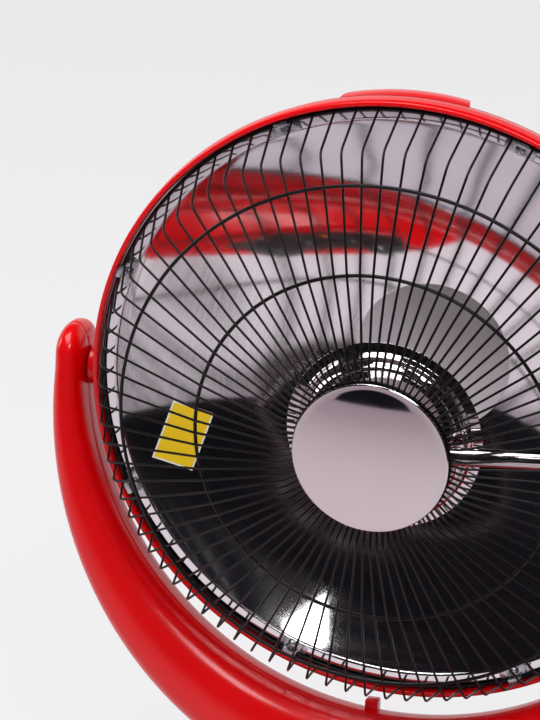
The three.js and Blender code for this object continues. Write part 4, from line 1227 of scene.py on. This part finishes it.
def makeKnob(name, node, across):
    low = knob["low"]
    skirt = turnUpright(name, roundOff([(x, low + y, fillet) for x, y, fillet in knob["outline"]]), 72)
    flutes = []
    for index in range(knob["flutes"]):
        place = (knob["fluteCircle"], 0, low + 12)
        flute = rodPiece("flute", *knob["flute"], place, (0, knob["fluteLean"], 0), 12)
        turned = Matrix.Rotation((index + 0.5) * 2 * math.pi / knob["flutes"], 4, "Z")
        flutes.append(placeOn(flute, turned))
    carve(skirt, [joinPieces("flutes", flutes)])
    smoothShade(skirt)
    stem = rodPiece("stem", *knob["stem"], (0, 0, low - 6), vertices=24)
    whole = joinPieces(name, [skirt, stem])
    placeOn(whole, Matrix.Translation((across * mm, 0, 0)))
    placeOn(whole, consolePlace)
    finishPiece(whole, satinBlack, node, [node])
    pointer = boxPiece("pointer", knob["pointer"], (0, 7.6, low + 15.6))
    softenEdges(pointer, 0.25, 2)
    placeOn(pointer, Matrix.Translation((across * mm, 0, 0)))
    placeOn(pointer, consolePlace)
    pointer.name = name + "Pointer"
    finishPiece(pointer, printWhite, node)


makeBaseShell()
makeUnderside()
makeConsole()
print("base made")

# CAD nodes that stay as they are and only get a finish.
keptNodes = {
    "zinc": (zincSteel, ["cap_screw", "pivot_pin_left", "pivot_pin_right", "neck_shaft", "retaining_collar"]),
    "black": (satinBlack, ["thermal_cutout", "tip_switch", "heat_switch"]),
    "grey": (greyMoulding, ["swing_motor", "timer_unit", "swing_switch"]),
    "nylon": (whiteNylon, ["terminal_block", "sector_gear", "drive_pinion", "tip_plunger"]),
    "iron": (castIron, ["ballast_ring"]),
}
for material, names in keptNodes.values():
    for nodeName in names:
        node = nodes[nodeName]
        node.data.materials.clear()
        node.data.materials.append(material)
print("hidden nodes dressed")

studio = {
    "width": 12,
    "front": 1.58,  # how far the painted table reflection reaches forwards and to the right, in m
    "right": 0.95,
    "floorColour": linear(238, 236, 240),
    "paintedTableGlowNear": linear(234, 217, 222),  # painted reflection: the tone the floor glows in for glossy rays only, near the part and far off
    "paintedTableGlowFar": linear(150, 120, 132),
    "fade": (-0.35, -1.45),
    "background": linear(239, 239, 239),
    "roomDark": (0.008, 0.008, 0.011, 1),
    "fill": (0.5, 0.5, 0.51, 1),
    "edge": 0.02,  # half the softness of the painted table reflection's edge
    "inMetal": 0.7,  # share of the emitted tone in what metal and the camera see of the floor: a painted reflection for metal, the plain backdrop for the camera
    "inView": 0.8,
}


def addFloor():
    clearSelection()
    bpy.ops.mesh.primitive_plane_add(size=studio["width"])
    floor = bpy.context.object
    floor.name = "studioFloor"
    floor.location = (0, 0, -0.0005)
    bakePlace(floor)
    material, tree, shader = newMaterial("pale floor")
    shader.inputs["Base Color"].default_value = studio["floorColour"]
    shader.inputs["Roughness"].default_value = 0.8
    rays = addNode(tree, "LightPath")
    split = addNode(tree, "SeparateXYZ", {"Vector": addNode(tree, "TexCoord").outputs["Object"]})
    across, along = split.outputs["X"], split.outputs["Y"]
    # What metal sees of the floor is a painted reflection: an emitted glow, pale near the part, darker far off,
    # and dark beyond the table's edge.
    tone = mixNode(
        tree, rampNode(tree, along, studio["fade"], kind="SMOOTHSTEP"), studio["paintedTableGlowNear"], studio["paintedTableGlowFar"]
    )
    front, right, soft = -studio["front"], studio["right"], studio["edge"]
    beyond = mathNode(
        tree,
        "MAXIMUM",
        rampNode(tree, along, (front - soft, front + soft), (1, 0)),
        rampNode(tree, across, (right - soft, right + soft)),
    )
    mirrored = addNode(tree, "Emission", {"Color": mixNode(tree, beyond, tone, studio["roomDark"])})
    share = mathNode(tree, "MAXIMUM", beyond, studio["inMetal"])
    inMetal = mathNode(tree, "MULTIPLY", rays.outputs["Is Glossy Ray"], share)
    seen = mathNode(tree, "MULTIPLY", rays.outputs["Is Camera Ray"], studio["inView"])
    glow = addNode(tree, "Emission", {"Color": studio["background"]})
    table = addNode(
        tree, "MixShader", {"Fac": inMetal, 1: shader.outputs["BSDF"], 2: mirrored.outputs["Emission"]}
    )
    blend = addNode(tree, "MixShader", {"Fac": seen, 1: table.outputs["Shader"], 2: glow.outputs["Emission"]})
    tree.links.new(blend.outputs["Shader"], tree.nodes["Material Output"].inputs["Surface"])
    floor.data.materials.append(material)


# In metres and watts.
lamps = {
    "topSoftbox": {"place": (-0.35, -0.25, 2.3), "target": (0, 0, 0.3), "size": (1.5, 1.1), "power": 32},
    "leftSoftbox": {"place": (-2, 0.15, 1.1), "target": (0, 0, 0.3), "size": (0.5, 1.1), "power": 9},
    "frontSoftbox": {
        "place": (0.52, -0.8, 1.44),
        "target": (-0.08, 0.04, 0.19),
        "size": (0.85, 0.36),
        "power": 10,
    },
}


def addLamp(name, look):
    clearSelection()
    bpy.ops.object.light_add(type="AREA", location=look["place"])
    lamp = bpy.context.object
    lamp.name = name
    lamp.data.shape = "RECTANGLE"
    lamp.data.size, lamp.data.size_y = look["size"]
    lamp.data.energy = look["power"]
    aim = Vector(look["target"]) - Vector(look["place"])
    lamp.rotation_euler = aim.to_track_quat("-Z", "Y").to_euler()


# What shiny pieces mirror: a pale backdrop behind the part and a dark room in front of it.
def addWorld():
    world = bpy.data.worlds.new("studio")
    bpy.context.scene.world = world
    world.use_nodes = True
    tree = world.node_tree
    direction = addNode(tree, "TexCoord").outputs["Generated"]
    split = addNode(tree, "SeparateXYZ", {"Vector": direction})
    behind = rampNode(tree, split.outputs["Y"], (-0.1, 0.3), kind="SMOOTHSTEP")
    low = rampNode(tree, split.outputs["Z"], (0.25, 0.7), (1, 0), "SMOOTHSTEP")
    pale = mathNode(tree, "MULTIPLY", behind, low)
    rays = addNode(tree, "LightPath")
    mirrored = mixNode(tree, pale, studio["roomDark"], studio["background"])
    lit = mixNode(tree, rays.outputs["Is Glossy Ray"], studio["fill"], mirrored)
    seen = mixNode(tree, rays.outputs["Is Camera Ray"], lit, studio["background"])
    tree.links.new(seen, tree.nodes["Background"].inputs["Color"])


addFloor()
addWorld()
for lampName, lampLook in lamps.items():
    addLamp(lampName, lampLook)
bpy.context.scene.view_settings.view_transform = "Standard"
print("studio lit")
